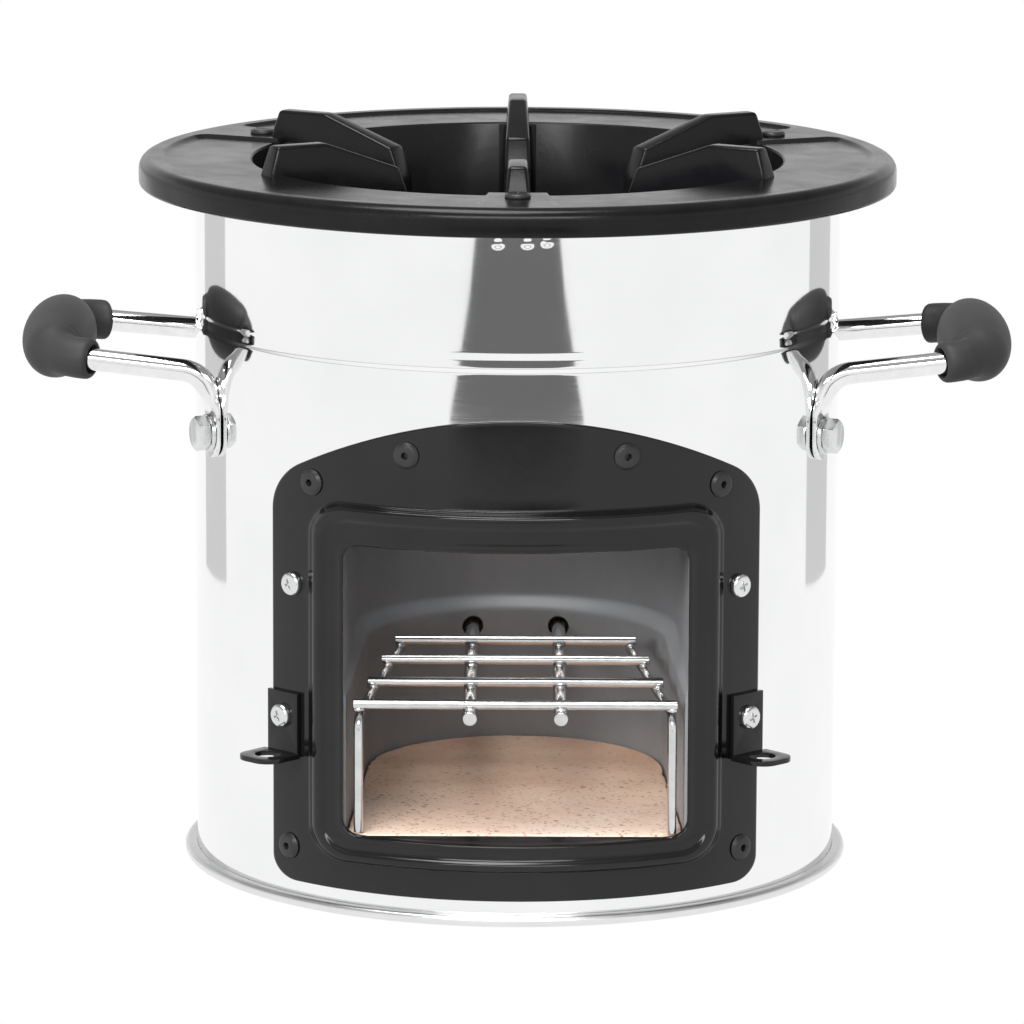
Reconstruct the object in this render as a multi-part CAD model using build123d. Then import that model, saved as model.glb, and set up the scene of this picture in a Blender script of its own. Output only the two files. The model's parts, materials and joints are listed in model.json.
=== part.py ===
from build123d import *
import os
from math import cos, hypot, pi, radians, sin

# Rocket stove. Millimetres, +Z up, origin at the centre of the base on the ground,
# fuel door facing -Y. Angles "theta" run round the body from the front (-Y) towards +X.

os.makedirs("parts", exist_ok=True)

# ---- body sheet metal ----
BODY_R = 138.5
SHEET = 0.8
BODY_IN = BODY_R - SHEET
SHELL_BOTTOM = 0.95
SHELL_TOP = 299.5
FLANGE_IN_R = 122.0
GROOVE_Z = 237.0
GROOVE_HALF = 4.0
GROOVE_DEPTH = 0.5
SEAM_HALF_DEG = 3.0
CUT_HALF_X = 74.0
CUT_Z = (32.0, 161.0)

# ---- base pan ----
BASE_R = 143.7
BEAD_H = 4.4
FOOT_IN_R = 130.0
PAN_RECESS = 3.0
UPSTAND_H = 9.0

# ---- cast pot ring ----
RING_R = 162.3
RING_TOP = 304.7
SKIRT_BOTTOM = 292.5
SKIRT_T = 4.0
PLATE_UNDER = 299.6
HOLE_R = 114.0
COLLAR_FOOT_R = 104.0
COLLAR_Z = 268.0
COLLAR_T = 4.0
RECESS_R = 152.2
RECESS_DEPTH = 1.0
LAND_HALF_DEG = 6.0
POT_Z = 316.0
FIN_DEGS = (30, 90, 150, 210, 270, 330)
FIN_TOP_HALF = 4.0
FIN_FOOT_HALF = 5.6
RING_SCREW_R = 129.0
RING_SCREW_HEAD_R = 5.4
RING_SCREW_DEGS = (30, 150, 270)

# ---- fire chamber, chimney and deck ----
LINER_T = 1.2
LOW_R = 65.0
LOW_FRONT_X = 71.0
HIGH_R = 70.0
HIGH_FRONT_X = 72.4
FRONT_Y = -120.0
LINER_BOTTOM = 10.1
SHOULDER_Z = (93.5, 98.0)
ROOF_Z = 160.0
CHAMBER_CLIP_R = 137.5
FLUE_TOP = 265.5
FLUE_LIP_R = 77.0
DECK_Z = 262.0
DECK_T = 1.0
BRICK_TOP = 35.0
BRICK_FRONT_Y = -122.5
BRICK_CLIP_R = 137.2

# ---- door frame ----
FRAME_IN = 138.6
FRAME_T = 1.2
FRAME_OUT = FRAME_IN + FRAME_T
FRAME_HALF_X = 102.0
FRAME_BOTTOM = 10.2
FRAME_PEAK = 213.5
FRAME_ARCH_R = 180.0
RIDGE_R = 143.6
GROOVE_R = 141.8
LIP_IN_R = 137.9
SILL_BACK_Y = -122.9
OPEN_HALF_X = 72.0
OPEN_Z = (34.4, 158.0)
STEP_HALF_X = 87.0
STEP_Z = (22.0, 176.5)
CREASE_HALF_X = 79.5
CREASE_Z = (28.6, 168.5)

# ---- fasteners on the frame: (theta, z) ----
RIVETS = [(s * t, z) for t, z in ((37.5, 182.3), (19.0, 197.7), (42.8, 25.0)) for s in (-1, 1)]
FRAME_SCREWS = [(-41.8, 138.0), (41.8, 138.0)]
BRACKET_THETA = 43.6
BRACKET_SCREW_Z = 81.3
RIVET_BODY_R = 2.4
SCREW_R = 2.5
CLEAR = 0.3

# ---- hook brackets ----
BRACKET_T = 2.0
LEAF_W = 17.5
LEAF_Z = (64.0, 91.5)
EYE_W = 21.0
EYE_REACH = 21.0
EYE_FROM_WALL = 10.5
EYE_R = 5.5

# ---- carrying handles ----
TAB_TURN = 23.0
TAB_IN_R = 138.65
TAB_T = 2.5
TAB_W = 15.5
TAB_BOTTOM = 182.4
TAB_TOP = 201.5
ROD_R = 4.75
ROD_AT_R = 143.8
ROD_START_Z = 207.4
ELBOW = (ROD_AT_R * cos(radians(TAB_TURN)), ROD_AT_R * sin(radians(TAB_TURN)), 219.0)
CORNER = (196.0, 50.0, 225.2)
ELBOW_R = 12.0
CORNER_R = 17.0
GRIP_R = 8.7
GRIP_FROM_X = 178.5
SWELL_X = 197.0
SWELL_R = 15.5
SWELL_HALF = 56.0
SOCKET_R = 6.5
SOCKET_DEPTH = 5.0
BOLT_Z = 193.0
BOLT_R = 4.0
BOLT_AF = 13.0
WASHER_T = 1.6
HEAD_H = 5.3
NUT_H = 6.5
NUT_FACE_R = 137.3
BOLT_END_R = 128.0

# ---- grate ----
BAR_R = 2.1
BAR_Z = 90.0
BAR_Y = (-120.0, -76.0, -32.0, 8.0)
BAR_LEN = (135.5, 125.6, 115.7, 105.4)
WELD_GAP = 0.05
GRATE_ROD_R = 3.0
GRATE_ROD_X = 19.0
GRATE_ROD_Y = (-125.0, 68.0)
GRATE_HOLE_R = 4.65
LEG_R = 2.0
LEG_X = 65.5
LEG_REAR = (50.0, 10.0)
LEG_FOOT_Z = BRICK_TOP + 0.35
LEG_BEND_R = 7.0


# ------------------------------------------------------------------ helpers
def revolved(points, rounds=()):
    """Solid of revolution about Z; rounds lists (r, z, radius) for corners to round."""
    face = make_face(Polyline(*[(r, 0, z) for r, z in points], close=True))
    for r, z, radius in rounds:
        corner = face.vertices().sort_by_distance((r, 0, z))[0]
        face = fillet(corner, radius)
    return revolve(face, Axis.Z)


def disc(radius, z0, z1):
    """Upright cylinder between two heights."""
    return Pos(0, 0, z0) * Cylinder(radius, z1 - z0, align=(Align.CENTER, Align.CENTER, Align.MIN))


def tube(r_in, r_out, z0, z1):
    """Upright pipe between two heights."""
    return disc(r_out, z0, z1) - disc(r_in, z0 - 1, z1 + 1)


def block(x, y, z):
    """Box from (low, high) pairs."""
    size = [b - a for a, b in (x, y, z)]
    return Pos(x[0], y[0], z[0]) * Box(*size, align=(Align.MIN, Align.MIN, Align.MIN))


def outward(theta, r, z):
    """Frame on the body's surface: local +Z points away from the axis, local +Y points up."""
    a = radians(theta)
    out = (sin(a), -cos(a), 0)
    side = (cos(a), sin(a), 0)
    return Plane(origin=(r * out[0], r * out[1], z), x_dir=side, z_dir=out)


def radial_pins(places, radius, r0, r1):
    """Cylinders that point away from the axis, from r0 to r1, one per (theta, z)."""
    pin = Cylinder(radius, r1 - r0, align=(Align.CENTER, Align.CENTER, Align.MIN))
    return [outward(theta, r0, z) * pin for theta, z in places]


def without(solid, cutters):
    """Solid less each cutter in turn."""
    for cutter in cutters:
        solid = solid - cutter
    return solid


def save(name, solids):
    """Write one node; several separate solids make a group."""
    if isinstance(solids, list):
        solids = Compound(children=[s.solid() if len(s.solids()) == 1 else s for s in solids])
    export_step(solids, f"parts/{name}.step")


def frame_screw_places():
    """Screws straight through the frame, then the two that also hold the brackets."""
    return FRAME_SCREWS, [(-BRACKET_THETA, BRACKET_SCREW_Z), (BRACKET_THETA, BRACKET_SCREW_Z)]


def handle_bolt_places():
    """The four handle bolts as (theta, z): right front, right rear, left front, left rear."""
    front, rear = 90 - TAB_TURN, 90 + TAB_TURN
    return [(theta, BOLT_Z) for theta in (front, rear, -front, -rear)]


# ------------------------------------------------------------------ body
def outer_shell():
    """Rolled body: straight wall, one shallow swaged groove, inward top flange, lapped back seam."""
    g0, g1 = GROOVE_Z - GROOVE_HALF, GROOVE_Z + GROOVE_HALF
    ramp = 1.6
    outer = [
        (BODY_R, SHELL_BOTTOM),
        (BODY_R, g0),
        (BODY_R - GROOVE_DEPTH, g0 + ramp),
        (BODY_R - GROOVE_DEPTH, g1 - ramp),
        (BODY_R, g1),
        (BODY_R, SHELL_TOP),
        (FLANGE_IN_R, SHELL_TOP),
        (FLANGE_IN_R, SHELL_TOP - SHEET),
        (BODY_IN, SHELL_TOP - SHEET),
        (BODY_IN, g1),
        (BODY_IN - GROOVE_DEPTH, g1 - ramp),
        (BODY_IN - GROOVE_DEPTH, g0 + ramp),
        (BODY_IN, g0),
        (BODY_IN, SHELL_BOTTOM),
    ]
    shell = revolved(outer)
    lap = tube(BODY_R - 0.2, BODY_R + SHEET, BEAD_H + 1.0, SKIRT_BOTTOM - 2.0)
    half = BODY_R * sin(radians(SEAM_HALF_DEG))
    shell += lap & block((-half, half), (0, BODY_R + 5), (0, SKIRT_BOTTOM))
    door = block((-CUT_HALF_X, CUT_HALF_X), (-BODY_R - 5, 0), CUT_Z)
    plain, bracketed = frame_screw_places()
    holes = radial_pins(RIVETS, RIVET_BODY_R + CLEAR, BODY_IN - 4, BODY_R + 4)
    holes += radial_pins(plain + bracketed, SCREW_R + CLEAR, BODY_IN - 4, BODY_R + 4)
    holes += radial_pins(handle_bolt_places(), BOLT_R + CLEAR, 130, 142)
    holes += ring_screw_pins(SCREW_R + CLEAR, SHELL_TOP - 3, SHELL_TOP + 3)
    return without(shell, [door] + holes)


def base_pan():
    """Pressed base with a rolled outer bead, a recessed floor and an upstand inside the shell."""
    t = 0.8
    points = [
        (0, PAN_RECESS),
        (FOOT_IN_R, PAN_RECESS),
        (FOOT_IN_R + 2, 0),
        (BASE_R, 0),
        (BASE_R, BEAD_H),
        (BODY_R + 0.15, BEAD_H),
        (BODY_R + 0.15, t),
        (BODY_IN - 0.1, t),
        (BODY_IN - 0.1, UPSTAND_H),
        (BODY_IN - 0.1 - t, UPSTAND_H),
        (BODY_IN - 0.1 - t, t),
        (FOOT_IN_R + 2 + t, t),
        (FOOT_IN_R + t, PAN_RECESS + t),
        (0, PAN_RECESS + t),
    ]
    bead = BEAD_H / 2 - 0.2
    return revolved(points, [(BASE_R, 0, bead), (BASE_R, BEAD_H, bead), (BODY_R + 0.15, BEAD_H, 1.2)])


# ------------------------------------------------------------------ pot ring
def ring_screw_pins(radius, z0, z1):
    """Upright cylinders at the three ring screws."""
    pins = []
    for deg in RING_SCREW_DEGS:
        x, y = RING_SCREW_R * cos(radians(deg)), RING_SCREW_R * sin(radians(deg))
        pins.append(Pos(x, y, 0) * disc(radius, z0, z1))
    return pins


def ring_pocket(mid_deg):
    """One of the shallow recesses between two screw lands, open to the hole."""
    half = 60 - LAND_HALF_DEG
    reach = RING_R * 2
    tips = [Vector(reach, 0).rotate(Axis.Z, mid_deg + s * half) for s in (-1, 0, 1)]
    wedge = make_face(Polyline((0, 0), *[(v.X, v.Y) for v in tips], close=True))
    sector = wedge & Circle(RECESS_R)
    outer_corners = [v for v in sector.vertices() if hypot(v.X, v.Y) > RECESS_R / 2]
    sector = fillet(outer_corners, 6.0)
    return Pos(0, 0, RING_TOP - RECESS_DEPTH) * extrude(sector, RECESS_DEPTH + 2)


def pot_fin():
    """One cast pot support at angle 0: a tapered plate that runs down the collar's wall."""
    profile = [
        (122.4, RING_TOP - 1.6),
        (118.0, POT_Z),
        (95.0, POT_Z),
        (60.5, 303.6),
        (56.0, 291.5),
        (55.0, 281.0),
        (62.0, 276.0),
        (105.5, COLLAR_Z + 1.5),
        (108.0, COLLAR_Z + 6),
        (116.0, PLATE_UNDER + 1.0),
    ]
    side = extrude(make_face(Polyline(*[(r, 0, z) for r, z in profile], close=True)), 20, both=True)
    low = COLLAR_Z - 2
    section = [
        (50, -FIN_TOP_HALF, POT_Z + 0.5),
        (50, FIN_TOP_HALF, POT_Z + 0.5),
        (50, FIN_FOOT_HALF, RING_TOP - 2),
        (50, FIN_FOOT_HALF + 0.4, low),
        (50, -FIN_FOOT_HALF - 0.4, low),
        (50, -FIN_FOOT_HALF, RING_TOP - 2),
    ]
    wedge = extrude(make_face(Polyline(*section, close=True)), 85, dir=(1, 0, 0))
    fin = side & wedge
    return fillet(fin.edges(), 1.2)


def pot_ring():
    """Cast ring: flat rim with a skirt, deep collar, six pot supports, three screw lands."""
    points = [
        (HOLE_R, RING_TOP),
        (RING_R, RING_TOP),
        (RING_R, SKIRT_BOTTOM),
        (RING_R - SKIRT_T, SKIRT_BOTTOM),
        (RING_R - SKIRT_T, PLATE_UNDER),
        (HOLE_R + COLLAR_T, PLATE_UNDER),
        (COLLAR_FOOT_R + COLLAR_T, COLLAR_Z),
        (COLLAR_FOOT_R, COLLAR_Z),
    ]
    rounds = [
        (RING_R, RING_TOP, 4.0),
        (RING_R, SKIRT_BOTTOM, 1.0),
        (RING_R - SKIRT_T, SKIRT_BOTTOM, 1.0),
        (HOLE_R, RING_TOP, 1.2),
    ]
    ring = revolved(points, rounds)
    for deg in (90, 210, 330):
        ring -= ring_pocket(deg)
    ring = without(ring, ring_screw_pins(SCREW_R + CLEAR, PLATE_UNDER - 2, RING_TOP + 2))
    fin = pot_fin()
    for deg in FIN_DEGS:
        ring += Rot(0, 0, deg) * fin
    return ring


def ring_screws():
    """Low truss-head screws through the ring's lands."""
    head_z = RING_TOP + 0.05
    rounds = [(RING_SCREW_HEAD_R, head_z + 1.9, 1.2)]
    points = [
        (0, head_z + 1.9),
        (RING_SCREW_HEAD_R, head_z + 1.9),
        (RING_SCREW_HEAD_R, head_z),
        (SCREW_R, head_z),
        (SCREW_R, 288.0),
        (0, 288.0),
    ]
    screw = revolved(points, rounds) - Pos(0, 0, head_z + 0.6) * Box(
        7.0, 1.2, 2.0, align=(Align.CENTER, Align.CENTER, Align.MIN)
    )
    return [Rot(0, 0, deg) * Pos(RING_SCREW_R, 0, 0) * screw for deg in RING_SCREW_DEGS]


def hex_nut(across_flats, height, bore_r):
    """Hexagon nut standing on its local XY plane, flats facing local +-X."""
    prism = extrude(RegularPolygon(across_flats / 2, 6, major_radius=False, rotation=30), height)
    prism = prism & revolved(
        [
            (0, 0),
            (across_flats * 0.5, 0),
            (across_flats * 0.58, 0.5),
            (across_flats * 0.58, height - 0.5),
            (across_flats * 0.5, height),
            (0, height),
        ]
    )
    return prism - disc(bore_r, -1, height + 1)


def ring_nuts():
    """Nuts under the body's top flange."""
    nut = hex_nut(8.0, 4.0, SCREW_R + 0.1)
    z = SHELL_TOP - SHEET - 4.1
    return [Rot(0, 0, deg) * Pos(RING_SCREW_R, 0, z) * nut for deg in RING_SCREW_DEGS]


# ------------------------------------------------------------------ fire chamber
def u_plan(radius, front_x, z0, z1, grow=0.0):
    """Prism with a round back on the axis and straight, slightly flared sides to the front."""
    r, x = radius + grow, front_x + grow
    y = FRONT_Y - 30
    flare = x + (front_x - radius) * 30 / -FRONT_Y
    outline = make_face(Polyline((-r, 0), (r, 0), (flare, y), (-flare, y), close=True))
    plan = outline + Circle(r)
    return Pos(0, 0, z0) * extrude(plan, z1 - z0)


def fire_chamber():
    """Enamelled liner of the fire tunnel: narrow below the shoulder, wider above it."""
    s0, s1 = SHOULDER_Z
    t = LINER_T
    low = u_plan(LOW_R, LOW_FRONT_X, LINER_BOTTOM, s0, t) - u_plan(LOW_R, LOW_FRONT_X, 0, s1)
    high = u_plan(HIGH_R, HIGH_FRONT_X, s0, ROOF_Z, t) - u_plan(HIGH_R, HIGH_FRONT_X, 0, ROOF_Z + 1)
    shoulder = u_plan(HIGH_R, HIGH_FRONT_X, s0, s0 + t, 0.5) - u_plan(LOW_R, LOW_FRONT_X, 0, s1)
    slope = shoulder_slope(s0 + t, s1)
    chamber = (low + high + shoulder + slope) & disc(CHAMBER_CLIP_R, 0, ROOF_Z)
    for sx in (-1, 1):
        hole = Cylinder(GRATE_HOLE_R, 60)
        chamber -= Pos(sx * GRATE_ROD_X, 70, rod_z()) * Rot(90, 0, 0) * hole
    return chamber


def shoulder_slope(z0, z1):
    """Sloped bead along the shoulder, in four low steps."""
    steps = 4
    bead = None
    for i in range(steps):
        a, b = z0 + (z1 - z0) * i / steps, z0 + (z1 - z0) * (i + 1) / steps
        share = (i + 0.7) / steps
        inner_r = LOW_R + (HIGH_R - LOW_R) * share
        inner_x = LOW_FRONT_X + (HIGH_FRONT_X - LOW_FRONT_X) * share
        step = u_plan(HIGH_R, HIGH_FRONT_X, a, b, 0.5) - u_plan(inner_r, inner_x, 0, z1 + 1)
        bead = step if bead is None else bead + step
    return bead


def rod_z():
    """Height of the two long grate rods, just under the cross bars."""
    return BAR_Z - BAR_R - GRATE_ROD_R - WELD_GAP


def chamber_floor():
    """Plate under the floor brick and the liner."""
    plate = u_plan(LOW_R, LOW_FRONT_X, LINER_BOTTOM - 1.2, LINER_BOTTOM - 0.1, LINER_T + 1)
    return plate & disc(136.2, 0, 50)


def chamber_roof():
    """Flat roof of the feed tunnel with the hole that the chimney stands over."""
    roof = u_plan(HIGH_R, HIGH_FRONT_X, ROOF_Z + 0.05, ROOF_Z + 1.25, LINER_T + 2)
    return (roof & disc(CHAMBER_CLIP_R, 0, ROOF_Z + 5)) - disc(HIGH_R, 0, ROOF_Z + 5)


def chimney_tube():
    """Insulated riser with a flared top lip."""
    r0, r1 = HIGH_R, HIGH_R + LINER_T
    points = [
        (r0, ROOF_Z + 1.3),
        (r1, ROOF_Z + 1.3),
        (r1, FLUE_TOP - 1.2),
        (FLUE_LIP_R, FLUE_TOP - 1.2),
        (FLUE_LIP_R, FLUE_TOP),
        (r0, FLUE_TOP),
    ]
    return revolved(points, [(r0, FLUE_TOP, 1.0)])


def top_deck():
    """Annular plate that closes the insulation, with an upstand against the shell."""
    r1 = BODY_IN - 0.1
    points = [
        (HIGH_R + LINER_T + 0.3, DECK_Z),
        (r1, DECK_Z),
        (r1, DECK_Z + 8),
        (r1 - DECK_T, DECK_Z + 8),
        (r1 - DECK_T, DECK_Z + DECK_T),
        (HIGH_R + LINER_T + 0.3, DECK_Z + DECK_T),
    ]
    return revolved(points)


def floor_brick():
    """Refractory slab on the chamber's floor, with a straight front edge."""
    brick = u_plan(LOW_R, LOW_FRONT_X, LINER_BOTTOM + 0.05, BRICK_TOP, -0.4)
    front = block((-90, 90), (BRICK_FRONT_Y, 90), (0, 60))
    return brick & disc(BRICK_CLIP_R, 0, 60) & front


def insulation_wool():
    """Mineral wool between the body and the fire chamber, with pockets for the fasteners."""
    wool = disc(136.3, PAN_RECESS + 1.0, DECK_Z - 0.2)
    wool -= u_plan(HIGH_R, HIGH_FRONT_X, LINER_BOTTOM - 1.4, ROOF_Z + 1.6, LINER_T + 2.3)
    wool -= disc(HIGH_R + LINER_T + 0.4, ROOF_Z, DECK_Z + 1)
    plain, bracketed = frame_screw_places()
    pockets = radial_pins(RIVETS + plain + bracketed, 6.5, 120, 140)
    pockets += radial_pins(handle_bolt_places(), 9.0, BOLT_END_R - 2, 140)
    for sx in (-1, 1):
        pockets.append(Pos(sx * GRATE_ROD_X, 70, rod_z()) * Rot(90, 0, 0) * Cylinder(6, 20))
    return without(wool, pockets)


# ------------------------------------------------------------------ door frame
def rounded_front(half_x, z_range, radius):
    """Rounded rectangle on the front plane."""
    z0, z1 = z_range
    return Pos(0, (z0 + z1) / 2) * RectangleRounded(half_x * 2, z1 - z0, radius)


def frame_outline():
    """Outside edge of the frame: straight foot and sides, arched top."""
    sides = Pos(0, FRAME_BOTTOM) * Rectangle(
        FRAME_HALF_X * 2, FRAME_PEAK, align=(Align.CENTER, Align.MIN)
    )
    outline = sides & (Pos(0, FRAME_PEAK - FRAME_ARCH_R) * Circle(FRAME_ARCH_R))
    corners = [v for v in outline.vertices() if abs(abs(v.X) - FRAME_HALF_X) < 0.1]
    low = [v for v in corners if v.Y < 50]
    outline = fillet(low, 10.0)
    high = [v for v in outline.vertices() if abs(abs(v.X) - FRAME_HALF_X) < 0.1 and v.Y > 175]
    return fillet(high, 24.0)


def pressed(outside, inside, r_in, r_out):
    """Band between two front outlines, bent to the body between two radii."""
    band = extrude(Plane.XZ * (outside - inside), 200)
    return band & tube(r_in, r_out, 0, 230)


def door_sill():
    """Level tongue of the lower lip that runs back to the straight front of the brick."""
    foot = OPEN_Z[0]
    tongue = block((-OPEN_HALF_X, OPEN_HALF_X), (-BODY_R * 2, SILL_BACK_Y), (foot - FRAME_T, foot))
    return tongue & disc(LIP_IN_R + 1.0, 0, foot + 1)


def door_frame():
    """Pressed surround: flange, raised ridge, groove, a lip turned in round the opening, a sill."""
    t = FRAME_T
    step = rounded_front(STEP_HALF_X, STEP_Z, 15)
    step_in = rounded_front(STEP_HALF_X - t, (STEP_Z[0] + t, STEP_Z[1] - t), 14)
    crease = rounded_front(CREASE_HALF_X, CREASE_Z, 10)
    crease_out = rounded_front(CREASE_HALF_X + t, (CREASE_Z[0] - t, CREASE_Z[1] + t), 11)
    opening = rounded_front(OPEN_HALF_X, OPEN_Z, 7)
    opening_out = rounded_front(OPEN_HALF_X + t, (OPEN_Z[0] - t, OPEN_Z[1] + t), 8)
    frame = pressed(frame_outline(), step_in, FRAME_IN, FRAME_OUT)
    frame += pressed(step, step_in, FRAME_IN, RIDGE_R)
    frame += pressed(step, crease, RIDGE_R - t, RIDGE_R)
    frame += pressed(crease_out, crease, GROOVE_R - t, RIDGE_R)
    frame += pressed(crease_out, opening, GROOVE_R - t, GROOVE_R)
    frame += pressed(opening_out, opening, LIP_IN_R, GROOVE_R)
    frame += door_sill()
    plain, bracketed = frame_screw_places()
    holes = radial_pins(RIVETS, RIVET_BODY_R + CLEAR, BODY_R - 3, BODY_R + 8)
    holes += radial_pins(plain + bracketed, SCREW_R + CLEAR, BODY_R - 3, BODY_R + 8)
    return without(frame, holes)


def frame_rivets():
    """Hollow blind rivets with domed heads and a bulb behind the sheet."""
    head, dome, bore = 5.65, 2.0, 1.5
    face = FRAME_OUT + 0.12
    back = BODY_IN - 0.3
    points = [
        (bore, -(face - 131.5)),
        (3.6, -(face - 131.5)),
        (3.6, -(face - back)),
        (RIVET_BODY_R, -(face - back)),
        (RIVET_BODY_R, 0),
        (head, 0),
        (head, 0.5),
        (4.4, dome - 0.35),
        (2.6, dome),
        (bore, dome),
    ]
    rivet = revolved(points)
    return [outward(theta, face, z) * rivet for theta, z in RIVETS]


def pan_screw(under_head):
    """Cross-recess pan-head screw: head outside, shank towards the axis."""
    head_r, head_h, shank = 5.0, 2.9, 12.5
    points = [
        (0, head_h),
        (head_r, head_h),
        (head_r, 0),
        (SCREW_R, 0),
        (SCREW_R, -shank - under_head),
        (0, -shank - under_head),
    ]
    screw = revolved(points, [(head_r, head_h, 1.8)])
    for turn in (0, 90):
        slot = Box(4.6, 1.0, 1.6, align=(Align.CENTER, Align.CENTER, Align.MIN))
        screw -= Rot(0, 0, turn + 20) * Pos(0, 0, head_h - 1.4) * slot
    return screw


def frame_screws():
    """Two screws on the frame's flange and two on the brackets' upright leaves."""
    plain, bracketed = frame_screw_places()
    placed = [outward(theta, FRAME_OUT + 0.12, z) * pan_screw(0) for theta, z in plain]
    over = FRAME_OUT + 0.1 + BRACKET_T + 0.05
    placed += [outward(theta, over, z) * pan_screw(BRACKET_T) for theta, z in bracketed]
    return placed


def frame_screw_nuts():
    """Nuts inside the body."""
    plain, bracketed = frame_screw_places()
    nut = hex_nut(8.0, 4.0, SCREW_R + 0.1)
    return [outward(theta, BODY_IN - 4.25, z) * nut for theta, z in plain + bracketed]


def hook_bracket(side):
    """L bracket: upright leaf screwed to the frame, level leaf with an eye."""
    t = BRACKET_T
    z0, z1 = LEAF_Z
    leaf = Pos(0, z0, 0) * Box(LEAF_W, z1 - z0, t, align=(Align.CENTER, Align.MIN, Align.MIN))
    foot = Pos(0, z0, 0) * Box(LEAF_W, t, t, align=(Align.CENTER, Align.MIN, Align.MIN))
    tongue = Pos(0, z0, t) * Box(EYE_W, t, EYE_REACH - t, align=(Align.CENTER, Align.MIN, Align.MIN))
    tip = [e for e in tongue.edges().filter_by(Axis.Y) if e.center().Z > EYE_REACH - 0.1]
    tongue = fillet(tip, 7.5)
    body = leaf + foot + tongue
    body -= Pos(0, z0 + t / 2, EYE_FROM_WALL) * Rot(90, 0, 0) * Cylinder(EYE_R, t * 3)
    body -= Pos(0, BRACKET_SCREW_Z, 0) * Cylinder(SCREW_R + CLEAR, t * 3)
    return outward(side * BRACKET_THETA, FRAME_OUT + 0.1, 0) * body


# ------------------------------------------------------------------ handles
def leg_point(x):
    """Point on a handle leg's centreline at this x, on the -Y side."""
    share = (x - ELBOW[0]) / (CORNER[0] - ELBOW[0])
    y, z = [a + (b - a) * share for a, b in zip(ELBOW[1:], CORNER[1:])]
    return (x, -y, z)


def mirrored_route(points):
    """Points of the -Y half followed by their mirror images on the +Y side."""
    return points + [(x, -y, z) for x, y, z in reversed(points)]


def swept(points, radii, radius):
    """Round bar along straight runs joined by tangent arcs."""
    path = FilletPolyline(*points, radius=radii)
    start = Plane(origin=path @ 0, z_dir=path % 0)
    return sweep(start * Circle(radius), path)


def handle_rod():
    """Right-hand carrying handle: bent bar with both ends flattened into bolted tabs."""
    half = [(ELBOW[0], -ELBOW[1], ROD_START_Z), (ELBOW[0], -ELBOW[1], ELBOW[2]), (CORNER[0], -CORNER[1], CORNER[2])]
    rod = swept(mirrored_route(half), [ELBOW_R, CORNER_R, CORNER_R, ELBOW_R], ROD_R)
    mid_r = TAB_IN_R + TAB_T / 2
    low = TAB_BOTTOM + TAB_W / 2
    flat = Pos(mid_r, 0, TAB_TOP) * Rectangle(TAB_T, TAB_W)
    neck = loft([flat, Pos(ROD_AT_R, 0, ROD_START_Z + 0.2) * Circle(ROD_R)])
    tab = block((TAB_IN_R, TAB_IN_R + TAB_T), (-TAB_W / 2, TAB_W / 2), (low, TAB_TOP))
    tab += Pos(mid_r, 0, low) * Rot(0, 90, 0) * Cylinder(TAB_W / 2, TAB_T)
    for side in (-1, 1):
        turn = Rot(0, 0, side * TAB_TURN)
        rod += turn * neck
        rod += turn * tab
    return without(rod, radial_pins(handle_bolt_places()[:2], BOLT_R + CLEAR, 130, 150))


def palm_swell():
    """Thick rounded bar that fills the outer leg of a grip, long axis along Y."""
    ball = scale(Sphere(SWELL_R), by=(1, SWELL_HALF / SWELL_R, 1))
    return Pos(SWELL_X, 0, CORNER[2]) * ball


def handle_grip():
    """Moulded sleeve round the bend of the right-hand handle, with open sockets at its ends."""
    half = [leg_point(GRIP_FROM_X), (CORNER[0], -CORNER[1], CORNER[2])]
    grip = swept(mirrored_route(half), [CORNER_R, CORNER_R], GRIP_R)
    start = Vector(*leg_point(GRIP_FROM_X))
    rim = 2 * pi * GRIP_R
    ends = [e for e in grip.edges() if e.bounding_box().max.X < GRIP_FROM_X + 3]
    grip = fillet([e for e in ends if abs(e.length - rim) < 0.5], 1.6)
    grip += palm_swell()
    bore_half = [leg_point(GRIP_FROM_X - 2), half[1]]
    grip -= swept(mirrored_route(bore_half), [CORNER_R, CORNER_R], ROD_R + 0.1)
    run = (Vector(CORNER[0], -CORNER[1], CORNER[2]) - start).normalized()
    for side in (-1, 1):
        mouth = Plane(origin=(start.X, -side * start.Y, start.Z), z_dir=(run.X, -side * run.Y, run.Z))
        grip -= mouth * Cylinder(SOCKET_R, SOCKET_DEPTH * 2)
    return grip


def handle_fasteners():
    """Bolts, washers and nuts on the four tabs."""
    washer_r = TAB_IN_R + TAB_T + 0.05
    head_r = washer_r + WASHER_T + 0.05
    head = hex_nut(BOLT_AF, HEAD_H, 0.01) + disc(BOLT_R - 0.01, 0, HEAD_H)
    bolt = head + disc(BOLT_R, BOLT_END_R - head_r, 0)
    washer = tube(BOLT_R + 0.2, 8.0, 0, WASHER_T)
    nut = hex_nut(BOLT_AF, NUT_H, BOLT_R + 0.1)
    places = handle_bolt_places()
    bolts = [outward(theta, head_r, z) * bolt for theta, z in places]
    washers = [outward(theta, washer_r, z) * washer for theta, z in places]
    nuts = [outward(theta, NUT_FACE_R - NUT_H, z) * nut for theta, z in places]
    return bolts, washers, nuts


# ------------------------------------------------------------------ grate
def grate_bar(y, length):
    """One cross bar with slightly rounded ends."""
    bar = Pos(0, y, BAR_Z) * Rot(0, 90, 0) * Cylinder(BAR_R, length)
    return fillet(bar.edges().filter_by(GeomType.CIRCLE), 0.5)


def grate_rod(side):
    """Long rod under the bars; its rear end rests in a hole of the liner."""
    y0, y1 = GRATE_ROD_Y
    rod = Pos(side * GRATE_ROD_X, (y0 + y1) / 2, rod_z()) * Rot(90, 0, 0) * Cylinder(GRATE_ROD_R, y1 - y0)
    return fillet(rod.edges().filter_by(GeomType.CIRCLE), 0.6)


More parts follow.
